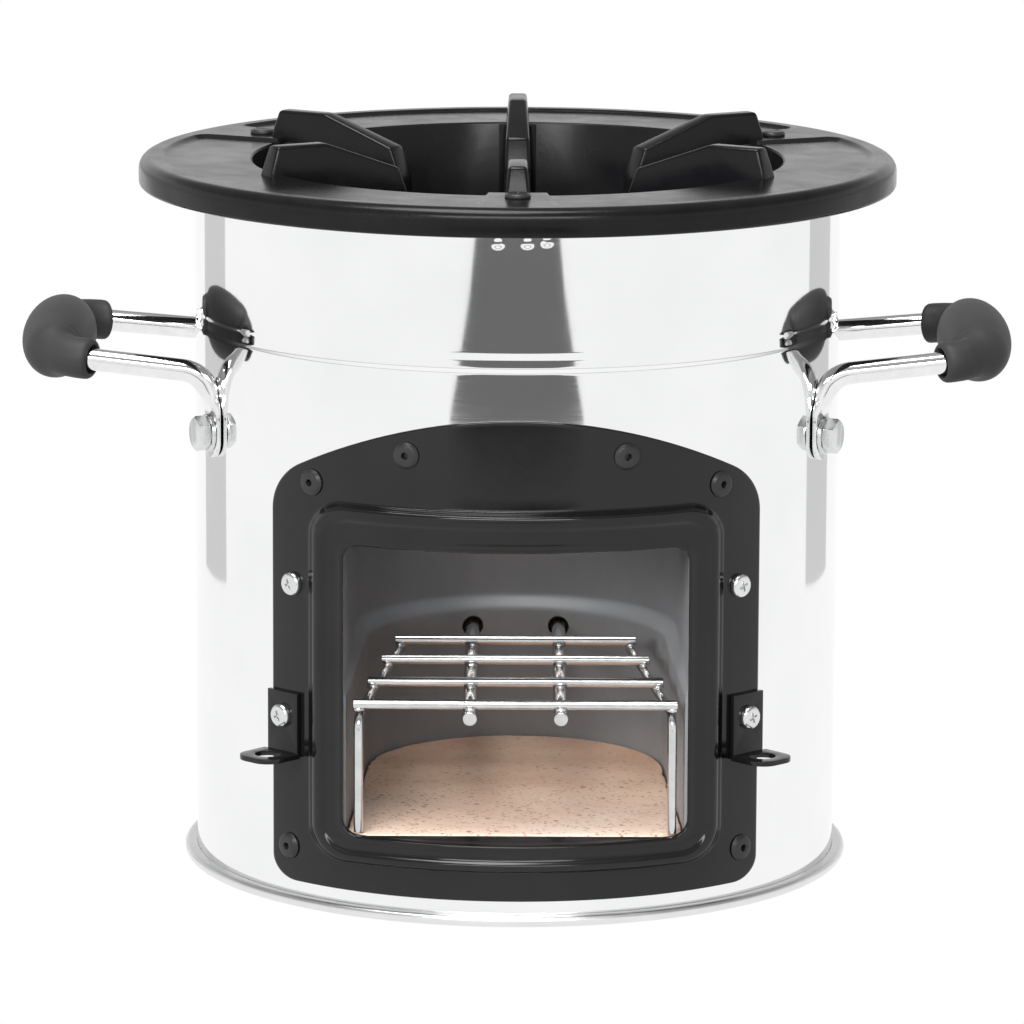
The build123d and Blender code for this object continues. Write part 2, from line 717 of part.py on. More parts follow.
def grate_leg(side):
    """Side wire under the bar ends, bent down at the front as a leg."""
    z = BAR_Z - BAR_R - LEG_R - WELD_GAP
    points = [
        (side * LEG_REAR[0], LEG_REAR[1], z),
        (side * LEG_X, BAR_Y[0], z),
        (side * LEG_X, BAR_Y[0], LEG_FOOT_Z),
    ]
    return swept(points, [LEG_BEND_R], LEG_R)


# ------------------------------------------------------------------ write the nodes
def main():
    """Write every node."""
    plain = {
        "outer_shell": outer_shell,
        "base_pan": base_pan,
        "pot_ring": pot_ring,
        "ring_screws": ring_screws,
        "ring_nuts": ring_nuts,
        "top_deck": top_deck,
        "chimney_tube": chimney_tube,
        "fire_chamber": fire_chamber,
        "chamber_roof": chamber_roof,
        "chamber_floor": chamber_floor,
        "floor_brick": floor_brick,
        "insulation_wool": insulation_wool,
        "door_frame": door_frame,
        "frame_rivets": frame_rivets,
        "frame_screws": frame_screws,
        "frame_screw_nuts": frame_screw_nuts,
    }
    for name, make in plain.items():
        save(name, make())
    rod, grip = handle_rod(), handle_grip()
    for name, side in (("left", -1), ("right", 1)):
        save(f"hook_bracket_{name}", hook_bracket(side))
        save(f"handle_rod_{name}", rod if side > 0 else mirror(rod, about=Plane.YZ))
        save(f"handle_grip_{name}", grip if side > 0 else mirror(grip, about=Plane.YZ))
        save(f"grate_rod_{name}", grate_rod(side))
        save(f"grate_leg_{name}", grate_leg(side))
    for name, solids in zip(("bolts", "washers", "nuts"), handle_fasteners()):
        save(f"handle_{name}", solids)
    for number, (y, length) in enumerate(zip(BAR_Y, BAR_LEN), 1):
        save(f"grate_bar_{number}", grate_bar(y, length))


main()
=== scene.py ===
import json
import math

import bmesh
import bpy
import numpy as np
from mathutils import Matrix, Quaternion, Vector, noise

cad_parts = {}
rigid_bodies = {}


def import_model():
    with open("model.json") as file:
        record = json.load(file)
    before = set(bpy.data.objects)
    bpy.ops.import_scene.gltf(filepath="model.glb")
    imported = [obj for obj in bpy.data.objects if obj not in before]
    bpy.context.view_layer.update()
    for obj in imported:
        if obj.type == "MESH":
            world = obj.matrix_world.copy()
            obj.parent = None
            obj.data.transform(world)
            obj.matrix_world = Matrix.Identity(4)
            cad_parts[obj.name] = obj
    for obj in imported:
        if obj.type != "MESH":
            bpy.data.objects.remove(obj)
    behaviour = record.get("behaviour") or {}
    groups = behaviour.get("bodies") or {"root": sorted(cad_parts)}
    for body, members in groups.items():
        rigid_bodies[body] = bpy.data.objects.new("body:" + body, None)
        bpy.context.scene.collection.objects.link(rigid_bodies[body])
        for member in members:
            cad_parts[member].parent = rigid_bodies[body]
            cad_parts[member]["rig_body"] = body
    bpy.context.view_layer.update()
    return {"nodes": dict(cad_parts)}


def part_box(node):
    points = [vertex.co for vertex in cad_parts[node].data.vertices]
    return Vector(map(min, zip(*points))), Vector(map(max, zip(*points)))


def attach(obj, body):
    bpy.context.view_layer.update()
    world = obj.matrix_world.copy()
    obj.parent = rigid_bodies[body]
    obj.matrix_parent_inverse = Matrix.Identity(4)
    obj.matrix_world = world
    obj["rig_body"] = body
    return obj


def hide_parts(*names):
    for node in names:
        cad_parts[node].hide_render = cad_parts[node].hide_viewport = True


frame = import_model()
MM = 0.001

# ---------------------------------------------------------------- sizes read from the frame
SHELL_LO, SHELL_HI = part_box("outer_shell")
PAN_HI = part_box("base_pan")[1]
RING_LO, RING_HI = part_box("pot_ring")
LINER_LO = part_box("fire_chamber")[0]
BRICK_LO, BRICK_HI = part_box("floor_brick")
ROD_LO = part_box("handle_rod_right")[0]

BODY_R = SHELL_HI.x
RING_R = RING_HI.x


# ---------------------------------------------------------------- mesh helpers
def smoothstep(a, b, x):
    """0 below a, 1 above b, smooth between."""
    t = np.clip((np.asarray(x, float) - a) / (b - a), 0, 1)
    return t * t * (3 - 2 * t)


def add_object(name, mesh, material, body, nodes=()):
    """Link a finished mesh as a piece that rides on a body and may stand for CAD nodes."""
    piece = bpy.data.objects.new(name, mesh)
    bpy.context.scene.collection.objects.link(piece)
    if material:
        mesh.materials.clear()
        mesh.materials.append(material)
    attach(piece, body)
    if nodes:
        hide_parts(*nodes)
    return piece


def make_mesh(name, verts, faces, smooth=True):
    """Mesh from points and faces, normals turned outwards."""
    mesh = bpy.data.meshes.new(name)
    mesh.from_pydata([tuple(v) for v in verts], [], faces)
    bm = bmesh.new()
    bm.from_mesh(mesh)
    bmesh.ops.remove_doubles(bm, verts=bm.verts, dist=1e-7)
    bmesh.ops.recalc_face_normals(bm, faces=bm.faces)
    bm.to_mesh(mesh)
    bm.free()
    mesh.polygons.foreach_set("use_smooth", [smooth] * len(mesh.polygons))
    return mesh


def skin(rows, closed_rows=False, closed_cols=False, cap=False):
    """Points and quads of a grid; rows is an (n, m, 3) array."""
    rows = np.asarray(rows, float)
    n, m = rows.shape[:2]
    verts = rows.reshape(-1, 3)
    faces = []
    for i in range(n if closed_rows else n - 1):
        k = (i + 1) % n
        for j in range(m if closed_cols else m - 1):
            l = (j + 1) % m
            faces.append((i * m + j, i * m + l, k * m + l, k * m + j))
    if cap:
        faces.append(tuple(range(m)))
        faces.append(tuple((n - 1) * m + j for j in reversed(range(m))))
    return verts, faces


def rounded_profile(points, steps=6):
    """Corner list of (r, z, radius) turned into a closed polyline with arcs at the corners."""
    out = []
    n = len(points)
    for i in range(n):
        p = Vector(points[i][:2])
        radius = points[i][2]
        a = Vector(points[i - 1][:2])
        b = Vector(points[(i + 1) % n][:2])
        if radius <= 0:
            out.append(tuple(p))
            continue
        u, v = (a - p).normalized(), (b - p).normalized()
        half = u.angle(v) / 2
        cut = min(radius / math.tan(half), (a - p).length * 0.49, (b - p).length * 0.49)
        radius = cut * math.tan(half)
        centre = p + (u + v).normalized() * (radius / math.sin(half))
        start, end = p + u * cut - centre, p + v * cut - centre
        turn = start.angle_signed(end)
        for k in range(steps + 1):
            c, s = math.cos(-turn * k / steps), math.sin(-turn * k / steps)
            out.append((centre.x + c * start.x - s * start.y, centre.y + s * start.x + c * start.y))
    return out


def lathe(name, profile, segments=256):
    """Closed profile of (r, z) turned about Z."""
    angles = np.linspace(0, 2 * np.pi, segments, endpoint=False)
    prof = np.array(profile, float)
    rows = np.stack(
        [
            prof[:, 0][:, None] * np.cos(angles),
            prof[:, 0][:, None] * np.sin(angles),
            np.repeat(prof[:, 1][:, None], segments, 1),
        ],
        axis=-1,
    )
    verts, faces = skin(rows, closed_rows=True, closed_cols=True)
    return make_mesh(name, verts, faces)


def sharpen(piece, degrees_):
    """Smooth shading that keeps edges sharper than this angle."""
    mesh = piece.data
    mesh.polygons.foreach_set("use_smooth", [True] * len(mesh.polygons))
    mesh.set_sharp_from_angle(angle=math.radians(degrees_))
    return piece


def softened(node, material, width, segments=2, angle=28.0):
    """Copy of a CAD node with its sharp edges rounded over, standing for that node."""
    source = frame["nodes"][node]
    mesh = source.data.copy()
    bm = bmesh.new()
    bm.from_mesh(mesh)
    bmesh.ops.remove_doubles(bm, verts=bm.verts, dist=2e-6)
    bmesh.ops.dissolve_limit(bm, angle_limit=math.radians(0.6), verts=bm.verts, edges=bm.edges)
    limit = math.radians(angle)
    edges = [e for e in bm.edges if len(e.link_faces) == 2 and e.calc_face_angle(0) > limit]
    bmesh.ops.bevel(
        bm, geom=edges, offset=width, segments=segments, profile=0.5, affect="EDGES", clamp_overlap=True
    )
    bmesh.ops.triangulate(bm, faces=[f for f in bm.faces if len(f.verts) > 4])
    fresh = bpy.data.meshes.new(node + "_soft")
    bm.to_mesh(fresh)
    bm.free()
    body = source["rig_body"]
    piece = add_object(node + "_finished", fresh, material, body, [node])
    return sharpen(piece, 35)


# ---------------------------------------------------------------- material helpers
class Mat:
    """Small builder for a procedural Principled material."""

    def __init__(self, name, **sockets):
        self.mat = bpy.data.materials.new(name)
        self.mat.use_nodes = True
        self.tree = self.mat.node_tree
        self.bsdf = self.tree.nodes["Principled BSDF"]
        self.coords = self.tree.nodes.new("ShaderNodeTexCoord")
        for key, value in sockets.items():
            self.bsdf.inputs[key.replace("_", " ")].default_value = value

    def link(self, a, b):
        self.tree.links.new(a, b)

    def stretched(self, scale):
        """Object coordinates stretched per axis."""
        node = self.tree.nodes.new("ShaderNodeMapping")
        node.inputs["Scale"].default_value = scale
        self.link(self.coords.outputs["Object"], node.inputs["Vector"])
        return node.outputs["Vector"]

    def noise(self, scale, detail=4.0, roughness=0.5, stretch=(1, 1, 1)):
        """Noise value in row-frame metres."""
        node = self.tree.nodes.new("ShaderNodeTexNoise")
        node.inputs["Scale"].default_value = scale
        node.inputs["Detail"].default_value = detail
        node.inputs["Roughness"].default_value = roughness
        self.link(self.stretched(stretch), node.inputs["Vector"])
        return node.outputs["Fac"]

    def voronoi(self, scale, feature="F1", stretch=(1, 1, 1), randomness=1.0):
        """Voronoi distance."""
        node = self.tree.nodes.new("ShaderNodeTexVoronoi")
        node.feature = feature
        node.inputs["Scale"].default_value = scale
        node.inputs["Randomness"].default_value = randomness
        self.link(self.stretched(stretch), node.inputs["Vector"])
        return node.outputs["Distance"]

    def ramp(self, fac, stops):
        """Colour ramp from (position, colour or grey) pairs."""
        node = self.tree.nodes.new("ShaderNodeValToRGB")
        elements = node.color_ramp.elements
        while len(elements) < len(stops):
            elements.new(0.5)
        for element, (place, value) in zip(elements, stops):
            element.position = place
            rgb = (value,) * 3 if isinstance(value, (int, float)) else value
            element.color = (*rgb, 1)
        self.link(fac, node.inputs["Fac"])
        return node.outputs["Color"]

    def math(self, kind, a, b):
        """One Math node; b may be a number."""
        node = self.tree.nodes.new("ShaderNodeMath")
        node.operation = kind
        self.link(a, node.inputs[0])
        if isinstance(b, (int, float)):
            node.inputs[1].default_value = b
        else:
            self.link(b, node.inputs[1])
        return node.outputs[0]

    def mix(self, fac, a, b, kind="MIX"):
        """Mix two colour outputs."""
        node = self.tree.nodes.new("ShaderNodeMix")
        node.data_type = "RGBA"
        node.blend_type = kind
        if isinstance(fac, (int, float)):
            node.inputs["Factor"].default_value = fac
        else:
            self.link(fac, node.inputs["Factor"])
        self.link(a, node.inputs[6])
        self.link(b, node.inputs[7])
        return node.outputs[2]

    def set(self, socket, output):
        self.link(output, self.bsdf.inputs[socket])
        return self

    def bump(self, *layers):
        """Chain bump layers of (height output, strength, distance in metres)."""
        normal = None
        for height, strength, distance in layers:
            node = self.tree.nodes.new("ShaderNodeBump")
            node.inputs["Strength"].default_value = strength
            node.inputs["Distance"].default_value = distance
            self.link(height, node.inputs["Height"])
            if normal:
                self.link(normal, node.inputs["Normal"])
            normal = node.outputs["Normal"]
        self.link(normal, self.bsdf.inputs["Normal"])
        return self.mat


def polished_sheet():
    """Bright rolled stainless sheet: near mirror, faint cloudiness, fine hoop-wise polish lines."""
    m = Mat("polished_stainless", Metallic=1.0)
    cloud = m.noise(14, 3, 0.55)
    lines = m.noise(60, 2, 0.6, stretch=(1, 1, 60))
    m.set("Base Color", m.ramp(cloud, [(0.3, (0.865, 0.868, 0.87)), (0.7, (0.92, 0.922, 0.922))]))
    m.set("Roughness", m.ramp(lines, [(0.3, 0.035), (0.7, 0.07)]))
    waves = m.noise(9, 2, 0.4, stretch=(1, 1, 0.45))
    return m.bump((waves, 0.16, 0.001), (lines, 0.006, 0.0001))


def bright_metal(name, low, high, rough, scale=140, stretch=(1, 1, 1), bump=0.04):
    """Plated or drawn bright metal with fine drawing marks."""
    m = Mat(name, Metallic=1.0)
    tone = m.noise(scale, 3, 0.6, stretch)
    fine = m.noise(scale * 9, 3, 0.6, stretch)
    m.set("Base Color", m.ramp(tone, [(0.25, low), (0.75, high)]))
    m.set("Roughness", m.ramp(tone, [(0.25, rough[0]), (0.75, rough[1])]))
    return m.bump((fine, bump, 0.0002))


def black_enamel(name, base, rough, peel, mottle=30, coat=0.0, spec=0.4):
    """Black stoving enamel: slight orange peel, dusty cloudiness and a few fine pits."""
    m = Mat(name, Coat_Weight=coat, Coat_Roughness=0.08, Specular_IOR_Level=spec)
    cloud = m.noise(mottle, 5, 0.6)
    skin_noise = m.noise(700, 3, 0.55)
    wide = m.noise(95, 2, 0.5)
    m.set("Base Color", m.ramp(cloud, [(0.3, base[0]), (0.75, base[1])]))
    m.set("Roughness", m.ramp(cloud, [(0.3, rough[0]), (0.7, rough[1])]))
    return m.bump((wide, peel, 0.0006), (skin_noise, peel, 0.00015))


def liner_enamel():
    """Dark grey satin enamel of the fire chamber, a little smoky."""
    m = Mat("liner_enamel", Specular_IOR_Level=0.6)
    smoke = m.noise(18, 5, 0.6, stretch=(1, 1, 0.5))
    grain = m.noise(900, 3, 0.6)
    m.set("Base Color", m.ramp(smoke, [(0.3, (0.185, 0.191, 0.2)), (0.7, (0.25, 0.257, 0.267))]))
    m.set("Roughness", m.ramp(smoke, [(0.3, 0.34), (0.7, 0.5)]))
    return m.bump((smoke, 0.15, 0.001), (grain, 0.12, 0.0001))


def refractory():
    """Fired brick: warm pale body, brown flecks in short dashes, pores and dusty patches, darkened towards
    the back of the chamber as painted shade.
    """
    m = Mat("flecked_refractory", Roughness=0.93, Specular_IOR_Level=0.25)
    body = m.noise(22, 4, 0.6)
    base = m.ramp(body, [(0.25, (0.71, 0.49, 0.38)), (0.5, (0.84, 0.645, 0.53)), (0.75, (0.94, 0.78, 0.67))])
    # Painted shade: the colour is multiplied darker the further back into the chamber the brick lies.
    split = m.tree.nodes.new("ShaderNodeSeparateXYZ")
    m.link(m.coords.outputs["Object"], split.inputs[0])
    depth = m.math("MULTIPLY", m.math("ADD", split.outputs["Y"], 0.13), 5.0)
    painted_back_shade_stops = [(0.12, (1, 1, 1)), (0.5, (0.72, 0.67, 0.62)), (1.0, (0.47, 0.40, 0.35))]
    painted_back_shade = m.ramp(m.math("ADD", depth, m.math("MULTIPLY", body, 0.25)), painted_back_shade_stops)
    base = m.mix(1.0, base, painted_back_shade, "MULTIPLY")
    fleck_cells = m.voronoi(185)
    patchy = m.noise(75, 3, 0.6)
    gate = m.ramp(patchy, [(0.46, 0.0), (0.6, 1.0)])
    fleck = m.ramp(fleck_cells, [(0.17, 1.0), (0.27, 0.0)])
    fleck = m.math("MULTIPLY", fleck, gate)
    brown = m.ramp(m.noise(300, 2), [(0.3, (0.22, 0.12, 0.065)), (0.7, (0.46, 0.30, 0.20))])
    colour = m.mix(fleck, base, brown)
    fine_cells = m.voronoi(430)
    speck = m.ramp(fine_cells, [(0.2, 0.8), (0.36, 0.0)])
    speck = m.math("MULTIPLY", speck, m.ramp(m.noise(140, 2), [(0.42, 0.0), (0.52, 1.0)]))
    m.set("Base Color", m.mix(speck, colour, brown))
    grain = m.noise(1500, 4, 0.7)
    return m.bump((grain, 0.35, 0.0003), (fleck_cells, 0.25, 0.0004))


def moulded_grip():
    """Matt black moulded grip with a fine spark-eroded grain."""
    m = Mat("moulded_grip", Specular_IOR_Level=0.3)
    tone = m.noise(40, 3, 0.5)
    grain = m.noise(2600, 3, 0.6)
    m.set("Base Color", m.ramp(tone, [(0.3, (0.022, 0.022, 0.0225)), (0.7, (0.029, 0.029, 0.03))]))
    m.set("Roughness", m.ramp(grain, [(0.3, 0.5), (0.7, 0.62)]))
    return m.bump((grain, 0.12, 0.0001))


def wool():
    """Loose mineral wool."""
    m = Mat("mineral_wool", Roughness=0.95)
    fibres = m.noise(260, 6, 0.75, stretch=(1, 1, 3))
    m.set("Base Color", m.ramp(fibres, [(0.3, (0.45, 0.41, 0.27)), (0.7, (0.7, 0.66, 0.5))]))
    return m.bump((fibres, 0.8, 0.002))


STAINLESS = polished_sheet()
CAST = black_enamel(
    "cast_enamel", ((0.0035, 0.0035, 0.004), (0.006, 0.006, 0.0065)), (0.17, 0.27), 0.12, 45, 0.0, 0.2
)
PRESSED = black_enamel(
    "pressed_enamel", ((0.0045, 0.0045, 0.005), (0.0075, 0.0075, 0.008)), (0.1, 0.17), 0.05, 25, 0.0, 0.38
)
BLACK_OXIDE = black_enamel(
    "black_oxide", ((0.012, 0.012, 0.013), (0.022, 0.022, 0.023)), (0.28, 0.42), 0.1, 120
)
LINER = liner_enamel()
BRICK = refractory()
GRIP = moulded_grip()
WOOL = wool()
ZINC = bright_metal("zinc_plate", (0.70, 0.71, 0.72), (0.78, 0.78, 0.775), (0.2, 0.28), 70, bump=0.02)
CHROME = bright_metal("chromed_rod", (0.78, 0.78, 0.785), (0.88, 0.88, 0.88), (0.06, 0.12), 120)
WIRE = bright_metal("drawn_wire", (0.58, 0.585, 0.59), (0.74, 0.74, 0.74), (0.12, 0.2), 90, bump=0.05)
PAN_STEEL = bright_metal(
    "pan_stainless", (0.74, 0.742, 0.745), (0.82, 0.82, 0.82), (0.26, 0.36), 40, bump=0.02
)


# ---------------------------------------------------------------- body and base
GROOVE_Z, GROOVE_HALF, GROOVE_DEPTH = 237 * MM, 4.5 * MM, 0.32 * MM
CUT_HALF_X, CUT_Z = 74 * MM, (32 * MM, 161 * MM)
DIMPLES = [(-3.3, 287.0), (1.7, 287.2), (5.0, 287.8)]
DIMPLE_R, DIMPLE_DEPTH = 2.7 * MM, 0.2 * MM
FLANGE_R = 122 * MM


def outer_shell():
    """Rolled body: groove, rolled-over top edge, door cut-out and crimp dimples."""
    cut_deg = math.degrees(math.asin(CUT_HALF_X / BODY_R))
    fine = np.arange(-8, 8.01, 0.4)
    wide = np.arange(8, 180, 1.0)
    theta = np.unique(np.round(np.concatenate([fine, wide, -wide, [cut_deg, -cut_deg]]), 4))
    top = SHELL_HI.z
    z = np.concatenate(
        [
            np.linspace(SHELL_LO.z, CUT_Z[0], 9),
            np.linspace(CUT_Z[0], CUT_Z[1], 33)[1:],
            np.linspace(CUT_Z[1], GROOVE_Z - 7 * MM, 19)[1:],
            np.linspace(GROOVE_Z - 7 * MM, GROOVE_Z + 7 * MM, 29)[1:],
            np.linspace(GROOVE_Z + 7 * MM, 280 * MM, 12)[1:],
            np.linspace(280 * MM, 291 * MM, 23)[1:],
            np.linspace(291 * MM, top - 1.5 * MM, 4)[1:],
        ]
    )
    t, zz = np.meshgrid(np.radians(theta), z)
    r = np.full_like(zz, BODY_R)
    r -= GROOVE_DEPTH * (
        smoothstep(GROOVE_Z - GROOVE_HALF, GROOVE_Z - GROOVE_HALF + 3 * MM, zz)
        - smoothstep(GROOVE_Z + GROOVE_HALF - 3 * MM, GROOVE_Z + GROOVE_HALF, zz)
    )
    for deg, height in DIMPLES:
        d = np.hypot((t - math.radians(deg)) * BODY_R, zz - height * MM)
        r -= DIMPLE_DEPTH * (1 - smoothstep(0.2 * DIMPLE_R, DIMPLE_R, d))
    rows = np.stack([r * np.sin(t), -r * np.cos(t), zz], axis=-1)
    corner = []
    for k in range(1, 5):
        a = math.pi / 2 * k / 4
        corner.append((BODY_R - 1.5 * MM * (1 - math.cos(a)), top - 1.5 * MM * (1 - math.sin(a))))
    corner += [(r_, top) for r_ in np.linspace(BODY_R - 3 * MM, FLANGE_R, 5)]
    tt = np.radians(theta)
    extra = [np.stack([rr * np.sin(tt), -rr * np.cos(tt), np.full_like(tt, hh)], -1) for rr, hh in corner]
    rows = np.concatenate([rows, np.array(extra)])
    verts, faces = skin(rows, closed_cols=True)
    kept = []
    for face in faces:
        c = verts[list(face)].mean(0)
        if not (abs(c[0]) < CUT_HALF_X and c[1] < 0 and CUT_Z[0] < c[2] < CUT_Z[1]):
            kept.append(face)
    mesh = make_mesh("body_shell", verts, kept)
    piece = add_object("body_shell", mesh, STAINLESS, "root", ["outer_shell"])
    thick = piece.modifiers.new("sheet", "SOLIDIFY")
    thick.thickness, thick.offset = 0.8 * MM, -1
    return piece


SEAM_FOOT, SEAM_RISE = 5.4 * MM, 22.4 * MM
WELD_COUNT, WELD_FIRST, WELD_STEP = 9, 0.016, 0.0305


def back_seam():
    """The lapped strip where the body's sheet overlaps itself, with its row of spot welds."""
    half, lift = math.radians(3.0), 0.75 * MM
    z = np.linspace(SEAM_FOOT, RING_LO.z + SEAM_RISE, 90)
    u = np.linspace(-half, half, 25)
    uu, zz = np.meshgrid(u, z)
    edge = smoothstep(0, 0.12, 1 - np.abs(uu) / half)
    r = BODY_R + 0.02 * MM + lift * edge
    for k in range(WELD_COUNT):
        weld = z[0] + WELD_FIRST + k * WELD_STEP
        d = np.hypot(uu * BODY_R, zz - weld)
        dent = 0.25 * MM * (1 - smoothstep(0.6 * MM, 2.6 * MM, d))
        lip = 0.1 * MM * np.exp(-(((d - 3 * MM) / (0.7 * MM)) ** 2))
        r = r - dent + lip
    front = np.stack([r * np.sin(uu), r * np.cos(uu), zz], -1)
    rb = np.full_like(r, BODY_R - 0.3 * MM)
    back = np.stack([rb * np.sin(uu), rb * np.cos(uu), zz], -1)
    verts, faces = closed_slab(front, back)
    mesh = make_mesh("body_seam", verts, faces)
    return sharpen(add_object("body_seam", mesh, STAINLESS, "root"), 50)


def closed_slab(front, back):
    """Closed mesh from two matching grids, one over the other."""
    n, m = front.shape[:2]
    verts = np.concatenate([front.reshape(-1, 3), back.reshape(-1, 3)])
    _, f = skin(front)
    faces = list(f)
    off = n * m
    faces += [tuple(off + i for i in reversed(q)) for q in f]
    rim = [j for j in range(m)] + [i * m + m - 1 for i in range(1, n)]
    rim += [(n - 1) * m + j for j in range(m - 2, -1, -1)] + [i * m for i in range(n - 2, 0, -1)]
    for a, b in zip(rim, rim[1:] + rim[:1]):
        faces.append((b, a, off + a, off + b))
    return verts, faces


def base_pan():
    """Pressed base with a rolled outer bead and a raised floor with a stiffening rib."""
    r0 = BODY_R - 0.05 * MM
    out = PAN_HI.x
    t = 0.8 * MM
    corners = [
        (0.0005, 3.0 * MM, 0),
        (0.060, 3.0 * MM, 2 * MM),
        (0.064, 1.6 * MM, 2 * MM),
        (0.072, 1.6 * MM, 2 * MM),
        (0.076, 3.0 * MM, 2 * MM),
        (0.130, 3.0 * MM, 2 * MM),
        (0.132, 0.0, 1.5 * MM),
        (out, 0.0, 2.0 * MM),
        (out, 4.4 * MM, 2.0 * MM),
        (r0, 4.4 * MM, 0.5 * MM),
        (r0, 1.0 * MM, 0),
        (BODY_R - 0.95 * MM, 1.0 * MM, 0),
        (BODY_R - 0.95 * MM, 9.0 * MM, 0),
        (BODY_R - 0.95 * MM - t, 9.0 * MM, 0),
        (BODY_R - 0.95 * MM - t, t + 0.2 * MM, 0),
        (0.1328, t + 0.2 * MM, 1 * MM),
        (0.1308, 3.0 * MM + t, 2 * MM),
        (0.0005, 3.0 * MM + t, 0),
    ]
    mesh = lathe("base_pan_rolled", rounded_profile(corners), 360)
    piece = add_object("base_pan_rolled", mesh, PAN_STEEL, "root", ["base_pan"])
    return sharpen(piece, 40)


# ---------------------------------------------------------------- pot ring
RING_TOP, SKIRT_Z, PLATE_Z = 304.7 * MM, 292.5 * MM, 299.6 * MM
HOLE_R, COLLAR_R, COLLAR_Z, COLLAR_T = 114 * MM, 104 * MM, 268 * MM, 4 * MM
RECESS_R, RECESS_DEPTH, LAND_DEG = 152.2 * MM, 1.3 * MM, 6.0
FIN_DEGS = (30, 90, 150, 210, 270, 330)
LAND_DEGS = (30, 150, 270)


def pocket_depth(r, deg):
    """How deep the top is recessed at this place: full inside the three pockets, none on the lands."""
    away = np.min([np.abs((deg - d + 180) % 360 - 180) for d in LAND_DEGS], axis=0)
    side = (away - LAND_DEG) * math.pi / 180 * r
    edge = RECESS_R - r
    corner = 6 * MM
    inside = np.minimum(side, edge)
    dx, dy = np.maximum(corner - side, 0), np.maximum(corner - edge, 0)
    rounded = np.where((dx > 0) & (dy > 0), corner - np.hypot(dx, dy), inside)
    return smoothstep(-0.1 * MM, 1.3 * MM, rounded)


def ring_body():
    """Turned part of the casting, its top surface lowered inside the pockets."""
    corners = [
        (COLLAR_R, COLLAR_Z, 1.2 * MM),
        (HOLE_R + 0.1 * MM, RING_TOP, 1.3 * MM),
    ]
    inner = rounded_profile(corners + [(RING_R, RING_TOP, 0), (RING_R, COLLAR_Z, 0)], 6)[:-2]
    top = [(r, RING_TOP) for r in np.linspace(HOLE_R + 2 * MM, RING_R - 5.2 * MM, 52)]
    rest = rounded_profile(
        [
            (HOLE_R, RING_TOP, 0),
            (RING_R, RING_TOP, 5.0 * MM),
            (RING_R, SKIRT_Z, 2.0 * MM),
            (RING_R - 4 * MM, SKIRT_Z, 1.2 * MM),
            (RING_R - 4 * MM, PLATE_Z, 1.5 * MM),
            (HOLE_R + COLLAR_T, PLATE_Z, 1.5 * MM),
            (COLLAR_R + COLLAR_T, COLLAR_Z, 1.2 * MM),
            (COLLAR_R, COLLAR_Z, 0),
        ],
        5,
    )[1:-1]
    prof = np.array(inner + top + rest, float)
    segments = 720
    deg = np.arange(segments) * 360 / segments
    a = np.radians(deg)
    r = np.repeat(prof[:, 0][:, None], segments, 1)
    z = np.repeat(prof[:, 1][:, None], segments, 1)
    on_top = smoothstep(RING_TOP - 2.0 * MM, RING_TOP - 0.4 * MM, z) * (r < RING_R - 1 * MM)
    z = z - RECESS_DEPTH * pocket_depth(r, deg[None, :]) * on_top
    rows = np.stack([r * np.cos(a), r * np.sin(a), z], -1)
    return skin(rows, closed_rows=True, closed_cols=True)


FIN_PROFILE = [
    (122.4, 302.2),
    (121.8, 305.2),
    (118.4, 316.0),
    (95.0, 316.0),
    (60.5, 303.6),
    (56.0, 291.5),
    (55.0, 281.0),
    (62.0, 276.0),
    (105.5, 269.5),
    (108.0, 274.0),
    (116.0, 299.6),
]


def ring_fin(deg):
    """One pot support: flat top, sloping nose, tapered sides, every edge rounded like a casting."""
    bm = bmesh.new()
    sides = []
    for sign in (-1, 1):
        loop = []
        for r, z in FIN_PROFILE:
            half = np.interp(z, [268, 302, 315.5], [6.0, 5.4, 3.9])
            loop.append(bm.verts.new((r * MM, sign * half * MM, z * MM)))
        sides.append(loop)
    n = len(FIN_PROFILE)
    bm.faces.new(sides[0])
    bm.faces.new(list(reversed(sides[1])))
    for i in range(n):
        k = (i + 1) % n
        bm.faces.new((sides[0][i], sides[1][i], sides[1][k], sides[0][k]))
    bmesh.ops.recalc_face_normals(bm, faces=bm.faces)
    rounding = {"offset": 1.5 * MM, "segments": 4, "profile": 0.5, "affect": "EDGES", "clamp_overlap": True}
    bmesh.ops.bevel(bm, geom=bm.edges[:], **rounding)
    turn = Matrix.Rotation(math.radians(deg), 3, "Z")
    bm.verts.index_update()
    verts = [tuple(turn @ v.co) for v in bm.verts]
    faces = [tuple(v.index for v in f.verts) for f in bm.faces]
    bm.free()
    return verts, faces


def fin_root(deg):
    """Soft fillet where a support runs into the collar's wall and the rim round its foot."""
    slope = (HOLE_R - COLLAR_R) / (RING_TOP - COLLAR_Z)
    path = []
    for z in np.linspace(270 * MM, RING_TOP - 2.2 * MM, 24):
        path.append((COLLAR_R + (z - COLLAR_Z) * slope, z))
    strips = []
    for sign in (-1, 1):
        rows = []
        for r, z in path:
            half = np.interp(z / MM, [268, 302, 316], [6.0, 5.4, 3.9]) * MM
            row = []
            for k in range(7):
                a = math.pi / 2 * k / 6
                w = 4.5 * MM * (1 - math.sin(a))
                h = 4.5 * MM * (1 - math.cos(a))
                row.append((r + 0.25 * MM - h, sign * (half - 0.3 * MM + w), z))
            row.append((r + 2.5 * MM, sign * (half - 1.5 * MM), z))
            row.append((r + 2.5 * MM, sign * (half + 4.0 * MM), z))
            rows.append(row)
        strips.append(skin(np.array(rows), closed_cols=True, cap=True))
    turn = Matrix.Rotation(math.radians(deg), 3, "Z")
    return [([tuple(turn @ Vector(v)) for v in verts], faces) for verts, faces in strips]


